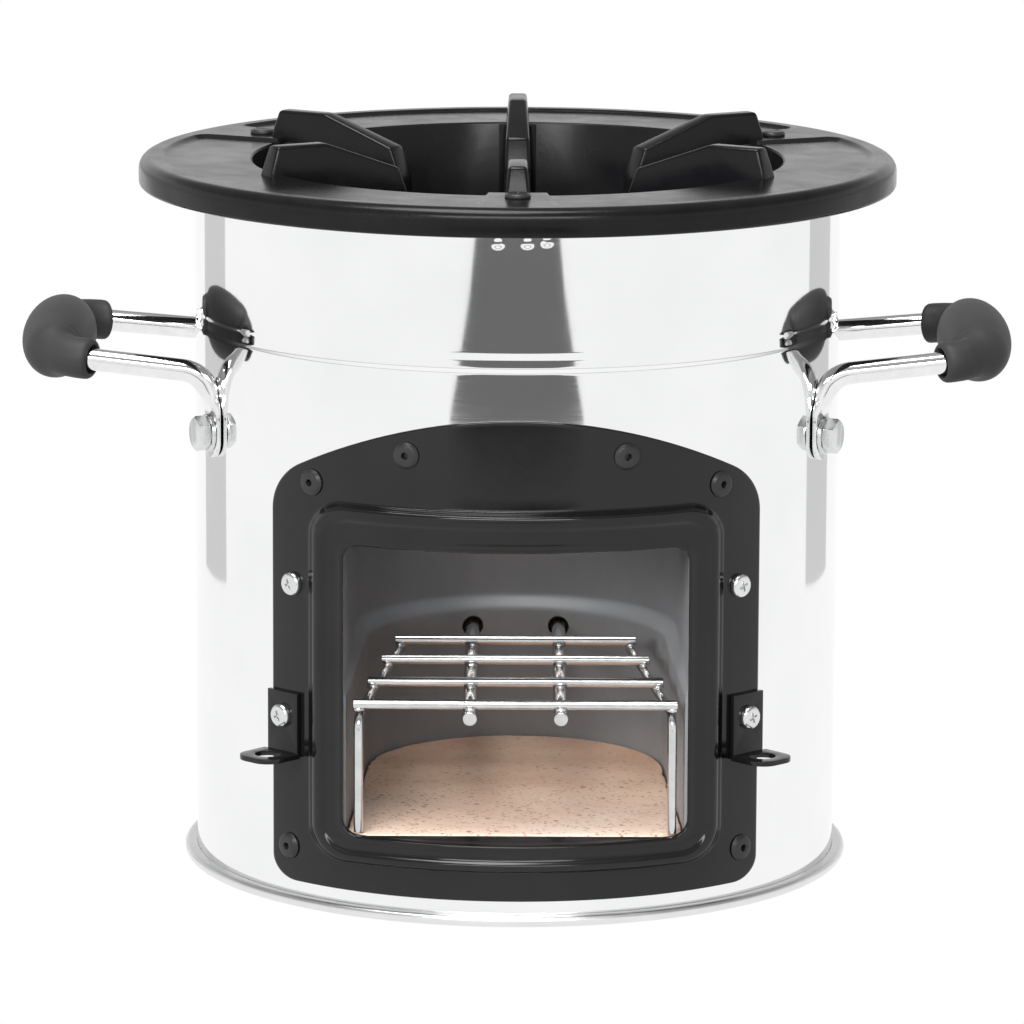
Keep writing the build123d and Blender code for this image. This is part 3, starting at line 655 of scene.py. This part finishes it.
def pot_ring():
    """Cast ring: turned collar and rim with three pockets, and six supports standing on it."""
    verts, faces = ring_body()
    verts, faces = [tuple(v) for v in verts], list(faces)
    for deg in FIN_DEGS:
        for v, f in [ring_fin(deg)] + fin_root(deg):
            off = len(verts)
            verts += v
            faces += [tuple(off + i for i in face) for face in f]
    mesh = make_mesh("pot_ring_cast", verts, faces)
    piece = add_object("pot_ring_cast", mesh, CAST, "root", ["pot_ring"])
    return sharpen(piece, 55)


# ---------------------------------------------------------------- fire chamber
LOW = (65.0 * MM, 71.0 * MM)
HIGH = (70.0 * MM, 72.4 * MM)
FRONT_Y = -120 * MM
CLIP_R = 137.5 * MM
ROOF_Z = 160 * MM


def u_outline(r, front_x, clip, sides=26, arc=72):
    """Open U from the right front edge round the back to the left front edge."""
    slope = (front_x - r) / -FRONT_Y
    y = 0.0
    for _ in range(30):
        x = r - slope * y
        y = -math.sqrt(clip * clip - x * x)
    right = [(r - slope * yy, yy) for yy in np.linspace(y, 0, sides)]
    back = [(r * math.cos(a), r * math.sin(a)) for a in np.linspace(0, math.pi, arc)[1:-1]]
    left = [(-x_, y_) for x_, y_ in reversed(right)]
    return np.array(right + back + left)


def fire_chamber():
    """Enamelled liner: lower box, soft sloping shoulder, wider upper part, two rod holes."""
    z = np.concatenate(
        [
            np.linspace(LINER_LO.z, 90 * MM, 18),
            np.linspace(90 * MM, 100 * MM, 15)[1:],
            np.linspace(100 * MM, ROOF_Z, 14)[1:],
        ]
    )
    rows = []
    for height in z:
        s = float(smoothstep(91.5 * MM, 98.5 * MM, height))
        r = LOW[0] + (HIGH[0] - LOW[0]) * s
        x = LOW[1] + (HIGH[1] - LOW[1]) * s
        line = u_outline(r, x, CLIP_R)
        rows.append(np.column_stack([line, np.full(len(line), height)]))
    verts, faces = skin(rows)
    mesh = make_mesh("fire_chamber_liner", verts, faces)
    piece = add_object("fire_chamber_liner", mesh, LINER, "root", ["fire_chamber"])
    thick = piece.modifiers.new("sheet", "SOLIDIFY")
    thick.thickness, thick.offset = 1.2 * MM, 1
    bm = bmesh.new()
    bm.from_mesh(mesh)
    inward = 0.0
    for f in bm.faces:
        mid = f.calc_center_median()
        inward += f.normal.dot(Vector((0, 0, mid.z)) - mid)
    bm.free()
    if inward > 0:
        thick.offset = -1
    rod_lo, rod_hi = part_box("grate_rod_right")
    rod_x, rod_z = (rod_lo.x + rod_hi.x) / 2, (rod_lo.z + rod_hi.z) / 2
    cutters = []
    for side in (-1, 1):
        bpy.ops.mesh.primitive_cylinder_add(
            vertices=48,
            radius=4.65 * MM,
            depth=30 * MM,
            location=(side * rod_x, 64 * MM, rod_z),
            rotation=(math.pi / 2, 0, 0),
        )
        cutters.append(bpy.context.object)
    for cutter in cutters:
        cut = piece.modifiers.new("rod_hole", "BOOLEAN")
        cut.operation, cut.object, cut.solver = "DIFFERENCE", cutter, "EXACT"
    dg = bpy.context.evaluated_depsgraph_get()
    dg.update()
    done = bpy.data.meshes.new_from_object(piece.evaluated_get(dg))
    piece.modifiers.clear()
    piece.data = done
    for cutter in cutters:
        bpy.data.objects.remove(cutter)
    done.materials.clear()
    done.materials.append(LINER)
    return sharpen(piece, 40)


def floor_brick():
    """Refractory slab: flat pressed top, ragged chipped edges, straight front."""
    line = u_outline(LOW[0] - 0.5 * MM, LOW[1] - 0.5 * MM, 137.0 * MM, 60, 150)
    front_y = BRICK_LO.y
    line = [(x, max(y, front_y)) for x, y in line]
    wall = 136.8 * MM
    across = np.linspace(line[-1][0], line[0][0], 130)[1:-1]
    front = [(x, max(front_y, -math.sqrt(wall * wall - x * x))) for x in across]
    outline = np.array(line + front)
    centre = np.array([0.0, -30 * MM])
    top, bottom = BRICK_HI.z, BRICK_LO.z
    rows = []

    def chip(p, k):
        """Ragged bite taken out of the edge at this place."""
        n = noise.noise(Vector((p[0] * 160, p[1] * 160, 3.1 + k)))
        big = noise.noise(Vector((p[0] * 45, p[1] * 45, 8.7)))
        ragged = 1.6 if (p[0] < 0 and p[1] > -95 * MM) else 0.9
        return max(0.0, n * 0.9 + big * 0.9) * ragged * MM

    inner = [0.02, 0.2, 0.4, 0.6, 0.75, 0.86, 0.93, 0.965, 0.98]
    for s in inner:
        ring_pts = []
        for p in outline:
            q = centre + (p - centre) * s
            lump = noise.noise(Vector((q[0] * 400, q[1] * 400, 0))) * 0.12 * MM
            ring_pts.append((q[0], q[1], top - 0.12 * MM + lump))
        rows.append(ring_pts)
    for drop, inset, k in ((0.35, 0.5, 0), (1.2, 0.12, 0.4), (3.0, 0.02, 0.9), (24.8, 0.0, 2.0)):
        ring_pts = []
        for p in outline:
            d = (p - centre) / np.linalg.norm(p - centre)
            bite = chip(p, k) * (1 if drop < 5 else 0.3)
            q = p - d * (inset * MM + bite)
            ring_pts.append((q[0], q[1], max(top - drop * MM - bite * 0.3 * (drop < 5), bottom)))
        rows.append(ring_pts)
    verts, faces = skin(np.array(rows), closed_cols=True, cap=True)
    mesh = make_mesh("floor_brick_fired", verts, faces)
    return sharpen(add_object("floor_brick_fired", mesh, BRICK, "root", ["floor_brick"]), 35)


# ---------------------------------------------------------------- door frame
def front_loop(half_x, z0, z1, radius, arch_r=None, peak=None, top_radius=None, side=34, arc=14):
    """Closed front outline: foot, right side, top, left side, each corner an arc. Same point order always."""
    top_radius = radius if top_radius is None else top_radius
    pts = []
    foot = np.linspace(-half_x + radius, half_x - radius, side)
    pts += [(x, z0) for x in foot]
    for a in np.linspace(-math.pi / 2, 0, arc)[1:-1]:
        pts.append((half_x - radius + radius * math.cos(a), z0 + radius + radius * math.sin(a)))
    if arch_r is None:
        right_top = z1 - top_radius
        top = [(x, z1) for x in np.linspace(half_x - top_radius, -half_x + top_radius, side)]
        corner = [
            (half_x - top_radius + top_radius * math.cos(a), z1 - top_radius + top_radius * math.sin(a))
            for a in np.linspace(0, math.pi / 2, arc)[1:-1]
        ]
    else:
        cz = peak - arch_r
        inner = arch_r - top_radius
        cx = half_x - top_radius
        corner_z = cz + math.sqrt(inner * inner - cx * cx)
        right_top = corner_z
        end = math.atan2(corner_z - cz, cx)
        corner = [
            (cx + top_radius * math.cos(a), corner_z + top_radius * math.sin(a))
            for a in np.linspace(0, end, arc)[1:-1]
        ]
        top = [
            (arch_r * math.cos(a), cz + arch_r * math.sin(a)) for a in np.linspace(end, math.pi - end, side)
        ]
    pts += [(half_x, z) for z in np.linspace(z0 + radius, right_top, side)]
    pts += corner
    pts += top
    pts += [(-x, z) for x, z in reversed(corner)]
    pts += [(-half_x, z) for z in np.linspace(right_top, z0 + radius, side)]
    for a in np.linspace(math.pi, math.pi * 1.5, arc)[1:-1]:
        pts.append((-half_x + radius + radius * math.cos(a), z0 + radius + radius * math.sin(a)))
    return np.array(pts)


def bent_loop(loop, radius):
    """Front outline laid on a cylinder of this radius, keeping its front-view shape."""
    x = loop[:, 0]
    return np.column_stack([x, -np.sqrt(radius * radius - x * x), loop[:, 1]])


PRESS_PROFILE = [
    (0.0, 139.85),
    (0.035, 139.95),
    (0.075, 140.7),
    (0.12, 142.2),
    (0.165, 143.15),
    (0.225, 143.55),
    (0.30, 143.6),
    (0.375, 143.35),
    (0.43, 142.75),
    (0.47, 142.25),
    (0.52, 141.95),
    (0.62, 141.55),
    (0.74, 141.2),
    (0.84, 141.25),
    (0.91, 141.5),
    (0.955, 141.4),
    (0.985, 140.95),
    (1.0, 140.2),
]


def door_frame():
    """Pressed surround, one smooth skin: flange, ridge, crease, shallow groove and turned-in lip."""
    outer = front_loop(102 * MM, 10.2 * MM, 0, 10 * MM, 180 * MM, 213.5 * MM, 24 * MM)
    step = front_loop(87 * MM, 22 * MM, 176.5 * MM, 15 * MM)
    opening = front_loop(72 * MM, 34.4 * MM, 158 * MM, 7 * MM)
    sheet_in, sheet_out = 138.65 * MM, 139.8 * MM
    rows = [bent_loop(outer, sheet_in)]
    centre = np.array([0, 100 * MM])
    for inset, r in ((0.0, 139.3), (0.12, 139.6), (0.35, 139.78)):
        shift = (outer - centre) / np.linalg.norm(outer - centre, axis=1)[:, None]
        rows.append(bent_loop(outer - shift * inset * MM, r * MM))
    for s in np.linspace(0.05, 0.97, 9):
        rows.append(bent_loop(outer + (step - outer) * s, sheet_out))
    share = np.array([p[0] for p in PRESS_PROFILE])
    height = np.array([p[1] for p in PRESS_PROFILE])
    for s in np.concatenate([np.linspace(0, 0.5, 26), np.linspace(0.5, 1.0, 22)[1:]]):
        r = smooth_curve(share, height, s) * MM
        rows.append(bent_loop(step + (opening - step) * s, r))
    for r in (139.6, 139.0, 138.4, 137.95):
        rows.append(bent_loop(opening, r * MM))
    gauge = 1.0 * MM
    skin_rows = np.array(rows)
    normals = row_normals(skin_rows)
    back = skin_rows - normals * gauge
    back[0] = skin_rows[0] - normals[0] * 0.02 * MM
    ring = np.concatenate([skin_rows, back[::-1]])
    verts, faces = skin(ring, closed_rows=True, closed_cols=True)
    verts, faces = [tuple(v) for v in verts], list(faces)
    v, f = door_sill()
    faces += [tuple(len(verts) + i for i in face) for face in f]
    verts += [tuple(p) for p in v]
    mesh = make_mesh("door_frame_pressed", verts, faces)
    piece = add_object("door_frame_pressed", mesh, PRESSED, "root", ["door_frame"])
    return sharpen(piece, 60)


def door_sill():
    """Level tongue of the lower lip that runs back to the straight front of the brick."""
    top, back_y, wall = 34.25 * MM, BRICK_LO.y - 0.4 * MM, 138.6 * MM
    reach = math.sqrt(wall * wall - back_y * back_y)
    x = np.linspace(-reach + 0.2 * MM, reach - 0.2 * MM, 80)
    rows = []
    for share in np.linspace(0, 1, 7):
        y = back_y + (-np.sqrt(wall * wall - x * x) - back_y) * share
        dish = 0.35 * MM * math.sin(math.pi * share)
        rows.append(np.column_stack([x, y, np.full_like(x, top - dish)]))
    front = np.array(rows)
    return closed_slab(front, front - np.array([0, 0, 1.0 * MM]))


def smooth_curve(xs, ys, x):
    """Catmull-Rom value at x through the points."""
    i = int(np.clip(np.searchsorted(xs, x) - 1, 0, len(xs) - 2))
    x0, x1 = xs[i], xs[i + 1]
    t = (x - x0) / (x1 - x0)
    m0 = (ys[i + 1] - ys[max(i - 1, 0)]) / (xs[i + 1] - xs[max(i - 1, 0)]) * (x1 - x0)
    j = min(i + 2, len(xs) - 1)
    m1 = (ys[j] - ys[i]) / (xs[j] - xs[i]) * (x1 - x0)
    h = ((2 * t**3 - 3 * t**2 + 1), (t**3 - 2 * t**2 + t), (-2 * t**3 + 3 * t**2), (t**3 - t**2))
    return h[0] * ys[i] + h[1] * m0 + h[2] * ys[i + 1] + h[3] * m1


def row_normals(rows):
    """Unit normals of a grid closed along its columns, pointing away from the axis."""
    along = np.roll(rows, -1, axis=1) - np.roll(rows, 1, axis=1)
    across = np.gradient(rows, axis=0)
    normal = np.cross(along, across)
    normal /= np.maximum(np.linalg.norm(normal, axis=-1, keepdims=True), 1e-12)
    out = rows * np.array([1, 1, 0])
    flip = np.sign((normal * out).sum(-1).mean())
    return normal * flip


# ---------------------------------------------------------------- handles
TAB_TURN = math.radians(23.0)
TAB_MID_R, ROD_AT_R = 139.9 * MM, 143.8 * MM
TAB_BOTTOM, TAB_TOP = ROD_LO.z, 202.5 * MM
TAB_HALF, TAB_THIN = 7.75 * MM, 1.25 * MM
ROD_RADIUS = 4.75 * MM
ELBOW_Z = 219.0 * MM
CORNER = Vector((196.0, -50.0, 225.2)) * MM
GRIP_MOUTH_X = 179.5 * MM
SWELL_X, SWELL_R, SWELL_HALF = 197.0 * MM, 15.5 * MM, 56 * MM


def at_tab(radius, z):
    """Point above the right front tab at this distance from the axis."""
    return Vector((radius * math.cos(TAB_TURN), -radius * math.sin(TAB_TURN), z))


def bend_route(points, radii, step):
    """Polyline with its corners rounded to these radii, resampled evenly."""
    route = [points[0]]
    for i, radius in enumerate(radii, 1):
        p, a, b = points[i], points[i - 1], points[i + 1]
        u, v = (a - p).normalized(), (b - p).normalized()
        half = u.angle(v) / 2
        cut = radius / math.tan(half)
        centre = p + (u + v).normalized() * (radius / math.sin(half))
        start, end = p + u * cut - centre, p + v * cut - centre
        turn = start.angle(end)
        axis = start.cross(end).normalized()
        for k in range(17):
            route.append(centre + Quaternion(axis, turn * k / 16) @ start)
    route.append(points[-1])
    lengths = [0.0]
    for a, b in zip(route, route[1:]):
        lengths.append(lengths[-1] + (b - a).length)
    wanted = np.arange(0, lengths[-1], step).tolist() + [lengths[-1]]
    xyz = np.array([tuple(p) for p in route])
    return [Vector(np.interp(w, lengths, xyz[:, k]) for k in range(3)) for w in wanted], wanted


def swept_tube(route, side_hint, sizes, points=40):
    """Rows of a tube along a route; sizes gives half width, half thickness, squareness and skew."""
    rows = []
    side = Vector(side_hint)
    n = len(route)
    for i, p in enumerate(route):
        ahead = route[min(i + 1, n - 1)] - route[max(i - 1, 0)]
        t = ahead.normalized()
        side = (side - t * side.dot(t)).normalized()
        up = t.cross(side)
        half_w, half_t, power, skew = sizes(i)
        row = []
        for k in range(points):
            a = 2 * math.pi * k / points
            c, s = math.cos(a), math.sin(a)
            w = math.copysign(abs(c) ** (2 / power), c) * half_w
            h = math.copysign(abs(s) ** (2 / power), s) * half_t
            row.append(tuple(p + side * w + up * h + t * w * skew))
        rows.append(row)
    return np.array(rows)


def both_halves(rows, side):
    """Front half of a handle joined to its mirror image, on the right or the left of the stove."""
    rear = rows[:-1][::-1] * np.array([1, -1, 1])
    return np.concatenate([rows, rear]) * np.array([side, 1, 1])


def handle_rod(name, side):
    """Bright bent rod with both ends pressed flat against the body and bolted on."""
    elbow = at_tab(ROD_AT_R, ELBOW_Z)
    middle = Vector((CORNER.x, 0, CORNER.z))
    points = [at_tab(TAB_MID_R, TAB_BOTTOM), at_tab(TAB_MID_R, TAB_TOP), elbow, CORNER, middle]
    route, along = bend_route(points, [6 * MM, 12 * MM, 17 * MM], 0.8 * MM)
    flat_end = TAB_TOP - TAB_BOTTOM

    def sizes(i):
        s = along[i]
        width = TAB_HALF
        if s < TAB_HALF:
            width = math.sqrt(max(TAB_HALF**2 - (TAB_HALF - s) ** 2, (0.8 * MM) ** 2))
        blend = float(smoothstep(flat_end - 3 * MM, flat_end + 13 * MM, s))
        half_w = width + (ROD_RADIUS - width) * blend
        half_t = TAB_THIN + (ROD_RADIUS - TAB_THIN) * blend
        return half_w, half_t, 5.0 - 3.0 * float(smoothstep(0, 0.7, blend)), 0.0

    across = (math.sin(TAB_TURN), math.cos(TAB_TURN), 0)
    rows = both_halves(swept_tube(route, across, sizes), side)
    verts, faces = skin(rows, closed_cols=True, cap=True)
    mesh = make_mesh(name, verts, faces)
    node = "handle_rod_" + ("right" if side > 0 else "left")
    return sharpen(add_object(name, mesh, CHROME, "root", [node]), 50)


def handle_grip(name, side):
    """Moulded grip: thick rounded outer bar with two short sleeves, open at their mouths."""
    elbow = at_tab(ROD_AT_R, ELBOW_Z)
    run = CORNER - elbow
    start = elbow + run * ((GRIP_MOUTH_X - elbow.x) / run.x)
    corner = Vector((SWELL_X, CORNER.y, CORNER.z))
    route, along = bend_route([start, corner, Vector((SWELL_X, 0, CORNER.z))], [17 * MM], 1.0 * MM)
    sleeve, edge = 8.7 * MM, 2.2 * MM
    heading = (route[1] - route[0]).normalized()
    close = [0.0, 0.12, 0.4, 0.85, 1.45]
    kept = [(p, s) for p, s in zip(route, along) if s > 2.0 * MM]
    route = [start + heading * e * MM for e in close] + [p for p, _ in kept]
    along = [e * MM for e in close] + [s for _, s in kept]

    def sizes(i):
        s = along[i]
        swell = SWELL_R * math.sqrt(max(0.0, 1 - (route[i].y / SWELL_HALF) ** 2))
        blend = float(smoothstep(2 * MM, 22 * MM, s))
        r = (sleeve**6 + (swell * blend) ** 6) ** (1 / 6)
        if s < edge:
            r = r - edge + math.sqrt(max(edge**2 - (edge - s) ** 2, 0))
        skew = -0.3 * (1 - float(smoothstep(3 * MM, 11 * MM, s)))
        return r, r, 2.0, skew

    rows = swept_tube(route, (0, 1, 0), sizes, 56)
    centre = np.array(start)
    inward = np.array(heading)
    rim = rows[0] - centre
    lean = rim @ inward
    radial = rim - lean[:, None] * inward
    size = np.linalg.norm(radial, axis=1)[:, None]
    mouth = []
    for radius, depth in ((4.9, 6.0), (6.1, 6.0), (6.15, 1.4), (6.3, 0.35)):
        share = radius * MM / size
        mouth.append(centre + radial * share + inward * (lean[:, None] * share + depth * MM))
    rows = both_halves(np.concatenate([np.array(mouth), rows]), side)
    verts, faces = skin(rows, closed_cols=True, cap=True)
    mesh = make_mesh(name, verts, faces)
    node = "handle_grip_" + ("right" if side > 0 else "left")
    return sharpen(add_object(name, mesh, GRIP, "root", [node]), 50)


# ---------------------------------------------------------------- grate details
def grate_welds():
    """Small squashed weld nuggets where the wires cross."""
    verts, faces = [], []
    places = []
    for n in range(1, 5):
        lo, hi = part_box(f"grate_bar_{n}")
        y, low = (lo.y + hi.y) / 2, lo.z
        for side in ("left", "right"):
            r_lo, r_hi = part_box(f"grate_rod_{side}")
            places.append(((r_lo.x + r_hi.x) / 2, y, low))
            l_lo, l_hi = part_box(f"grate_leg_{side}")
            inner = min(abs(l_lo.x), abs(l_hi.x)) + 2 * MM
            outer = max(abs(l_lo.x), abs(l_hi.x)) - 2 * MM
            rear, front = l_hi.y, l_lo.y + 2 * MM
            x = inner + (outer - inner) * (rear - y) / (rear - front)
            sign = -1 if side == "left" else 1
            places.append((sign * x, y, low))
    for index, (x, y, z) in enumerate(places):
        bm = bmesh.new()
        bmesh.ops.create_icosphere(bm, subdivisions=3, radius=1.0)
        off = len(verts)
        for v in bm.verts:
            n = v.co.normalized()
            lump = 1 + 0.16 * noise.noise(n * 2.1 + Vector((index * 3.7, 0, 0)))
            verts.append((x + n.x * 2.5 * MM * lump, y + n.y * 2.2 * MM * lump, z + n.z * 1.05 * MM * lump))
        faces += [tuple(off + v.index for v in f.verts) for f in bm.faces]
        bm.free()
    mesh = make_mesh("grate_welds", verts, faces)
    return add_object("grate_welds", mesh, WIRE, "grate")


# ---------------------------------------------------------------- CAD nodes that stay as they are
def finish_cad_nodes():
    """Materials for the nodes whose CAD shape is already right."""
    looks = {
        "ring_nuts": ZINC,
        "top_deck": LINER,
        "chimney_tube": LINER,
        "chamber_roof": LINER,
        "chamber_floor": LINER,
        "insulation_wool": WOOL,
        "frame_screw_nuts": ZINC,
        "handle_nuts": ZINC,
    }
    for n in range(1, 5):
        looks[f"grate_bar_{n}"] = WIRE
    for side in ("left", "right"):
        looks[f"grate_rod_{side}"] = WIRE
        looks[f"grate_leg_{side}"] = WIRE
    for node, material in looks.items():
        frame["nodes"][node].material_slots[0].material = material


def build_object():
    """Every visible piece."""
    outer_shell()
    back_seam()
    base_pan()
    pot_ring()
    fire_chamber()
    floor_brick()
    door_frame()
    for side, word in ((-1, "left"), (1, "right")):
        handle_rod(f"handle_rod_{word}_bent", side)
        handle_grip(f"handle_grip_{word}_moulded", side)
        softened(f"hook_bracket_{word}", PRESSED, 0.35 * MM, 3)
    softened("frame_rivets", BLACK_OXIDE, 0.25 * MM, 3, 20)
    softened("ring_screws", BLACK_OXIDE, 0.2 * MM, 2)
    softened("frame_screws", ZINC, 0.12 * MM, 2)
    softened("handle_bolts", ZINC, 0.3 * MM, 3)
    softened("handle_washers", ZINC, 0.25 * MM, 3)
    grate_welds()
    finish_cad_nodes()


# ---------------------------------------------------------------- stage, light and camera
def emitting(name, strength=1.0):
    """Even white emission for a part of the studio."""
    mat = bpy.data.materials.new(name)
    mat.use_nodes = True
    tree = mat.node_tree
    tree.nodes.clear()
    out = tree.nodes.new("ShaderNodeOutputMaterial")
    emit = tree.nodes.new("ShaderNodeEmission")
    emit.inputs["Color"].default_value = (1, 1, 1, 1)
    emit.inputs["Strength"].default_value = strength
    tree.links.new(emit.outputs[0], out.inputs["Surface"])
    return mat


def studio_card(name, tone, place, size, turn=None):
    """Evenly grey card that only gloss sees: flat on the floor, or upright when it has a turn."""
    w, h = size[0] / 2, size[1] / 2
    mesh = bpy.data.meshes.new(name)
    mesh.from_pydata([(-w, -h, 0), (w, -h, 0), (w, h, 0), (-w, h, 0)], [], [(0, 1, 2, 3)])
    mesh.materials.append(emitting(name, tone))
    card = bpy.data.objects.new(name, mesh)
    card.location = place
    if turn is not None:
        card.rotation_euler = (math.pi / 2, 0, math.radians(turn))
    bpy.context.scene.collection.objects.link(card)
    card.visible_camera = card.visible_diffuse = card.visible_shadow = False
    card.visible_transmission = card.visible_volume_scatter = False


def area_light(name, place, target, size, power):
    """Soft box aimed at a point."""
    data = bpy.data.lights.new(name, "AREA")
    data.shape = "RECTANGLE"
    data.size, data.size_y = size
    data.energy = power
    obj = bpy.data.objects.new(name, data)
    obj.location = place
    obj.rotation_euler = (Vector(target) - Vector(place)).to_track_quat("-Z", "Y").to_euler()
    bpy.context.scene.collection.objects.link(obj)
    return obj


DOME_TONES = [(0.0, 0.25), (0.49, 0.3), (0.52, 0.95), (0.64, 0.9), (0.72, 0.36), (0.86, 0.3), (1.0, 0.5)]


def studio_world():
    """White to the camera; to light and gloss a dome, bright near the horizon, dimmer above and below."""
    world = bpy.data.worlds.new("studio")
    bpy.context.scene.world = world
    world.use_nodes = True
    tree = world.node_tree
    back = tree.nodes["Background"]
    coords = tree.nodes.new("ShaderNodeTexCoord")
    split = tree.nodes.new("ShaderNodeSeparateXYZ")
    ramp = tree.nodes.new("ShaderNodeValToRGB")
    path = tree.nodes.new("ShaderNodeLightPath")
    mix = tree.nodes.new("ShaderNodeMix")
    mix.data_type = "RGBA"
    lift = tree.nodes.new("ShaderNodeMapRange")
    lift.inputs["From Min"].default_value = -1
    tree.links.new(coords.outputs["Generated"], split.inputs[0])
    tree.links.new(split.outputs["Z"], lift.inputs["Value"])
    tree.links.new(lift.outputs["Result"], ramp.inputs["Fac"])
    elements = ramp.color_ramp.elements
    while len(elements) < len(DOME_TONES):
        elements.new(0.5)
    for element, (place, value) in zip(elements, DOME_TONES):
        element.position = place
        element.color = (value, value, value, 1)
    front = tree.nodes.new("ShaderNodeMapRange")
    front.inputs["From Min"].default_value = 0.1
    front.inputs["From Max"].default_value = -0.6
    front.inputs["To Min"].default_value = 1.0
    front.inputs["To Max"].default_value = 1.1
    tree.links.new(split.outputs["Y"], front.inputs["Value"])
    lit = tree.nodes.new("ShaderNodeVectorMath")
    lit.operation = "SCALE"
    tree.links.new(ramp.outputs["Color"], lit.inputs[0])
    tree.links.new(front.outputs["Result"], lit.inputs["Scale"])
    tree.links.new(path.outputs["Is Camera Ray"], mix.inputs["Factor"])
    tree.links.new(lit.outputs[0], mix.inputs[6])
    mix.inputs[7].default_value = (1, 1, 1, 1)
    tree.links.new(mix.outputs[2], back.inputs["Color"])


FLOOR_HALF = 12.0
FLAG_TONE, FLAG_PLACE, FLAG_SIZE = 0.15, (0, -1.8, 0.002), (1.0, 1.2)
SIDE_TONE, SIDE_X, SIDE_Y, SIDE_Z = 0.65, 0.55, 0.42, 0.2
SIDE_SIZE, SIDE_TURN = (0.25, 0.4), 53


def studio():
    """Plain white floor, pale dome, soft boxes in front and above, and three even grey cards."""
    studio_world()
    mesh = bpy.data.meshes.new("floor")
    s = FLOOR_HALF
    mesh.from_pydata([(-s, -s, 0), (s, -s, 0), (s, s, 0), (-s, s, 0)], [], [(0, 1, 2, 3)])
    floor = bpy.data.objects.new("floor", mesh)
    bpy.context.scene.collection.objects.link(floor)
    mesh.materials.append(emitting("floor_white"))
    floor.visible_diffuse = False
    studio_card("front_flag", FLAG_TONE, FLAG_PLACE, FLAG_SIZE)
    for side in (-1, 1):
        place = (side * SIDE_X, SIDE_Y, SIDE_Z)
        studio_card(f"side_card_{side}", SIDE_TONE, place, SIDE_SIZE, -side * SIDE_TURN)
    key = area_light("key", (-0.5, -2.0, 1.7), (0, 0, 0.12), (1.2, 1.0), 48)
    low = area_light("low", (-1.4, -2.0, 0.85), (0, 0, 0.12), (0.9, 0.6), 52)
    key.visible_glossy = low.visible_glossy = False
    gleam = area_light("gleam", (-0.1, -2.0, 1.35), (0, 0, 0.15), (1.7, 0.45), 24)
    gleam.visible_diffuse = False
    area_light("top", (-0.3, -0.3, 2.4), (0, 0, 0.25), (1.3, 1.1), 45)


VIEW_Y, VIEW_Z = -2.799, 0.6916


def camera():
    """Camera at the viewing angle: a long lens from the front, looking slightly down."""
    data = bpy.data.cameras.new("camera")
    cam = bpy.data.objects.new("camera", data)
    bpy.context.scene.collection.objects.link(cam)
    cam.location = (-0.0018, VIEW_Y, VIEW_Z)
    pitch, roll = math.radians(10.98), math.radians(0.25)
    level = Matrix.Rotation(math.pi / 2 - pitch, 4, "X")
    cam.rotation_euler = (level @ Matrix.Rotation(roll, 4, "Z")).to_euler()
    data.lens = 231.4
    data.sensor_width = 36
    data.clip_end = 100
    bpy.context.scene.camera = cam


build_object()
studio()
camera()
bpy.context.scene.view_settings.view_transform = "Standard"
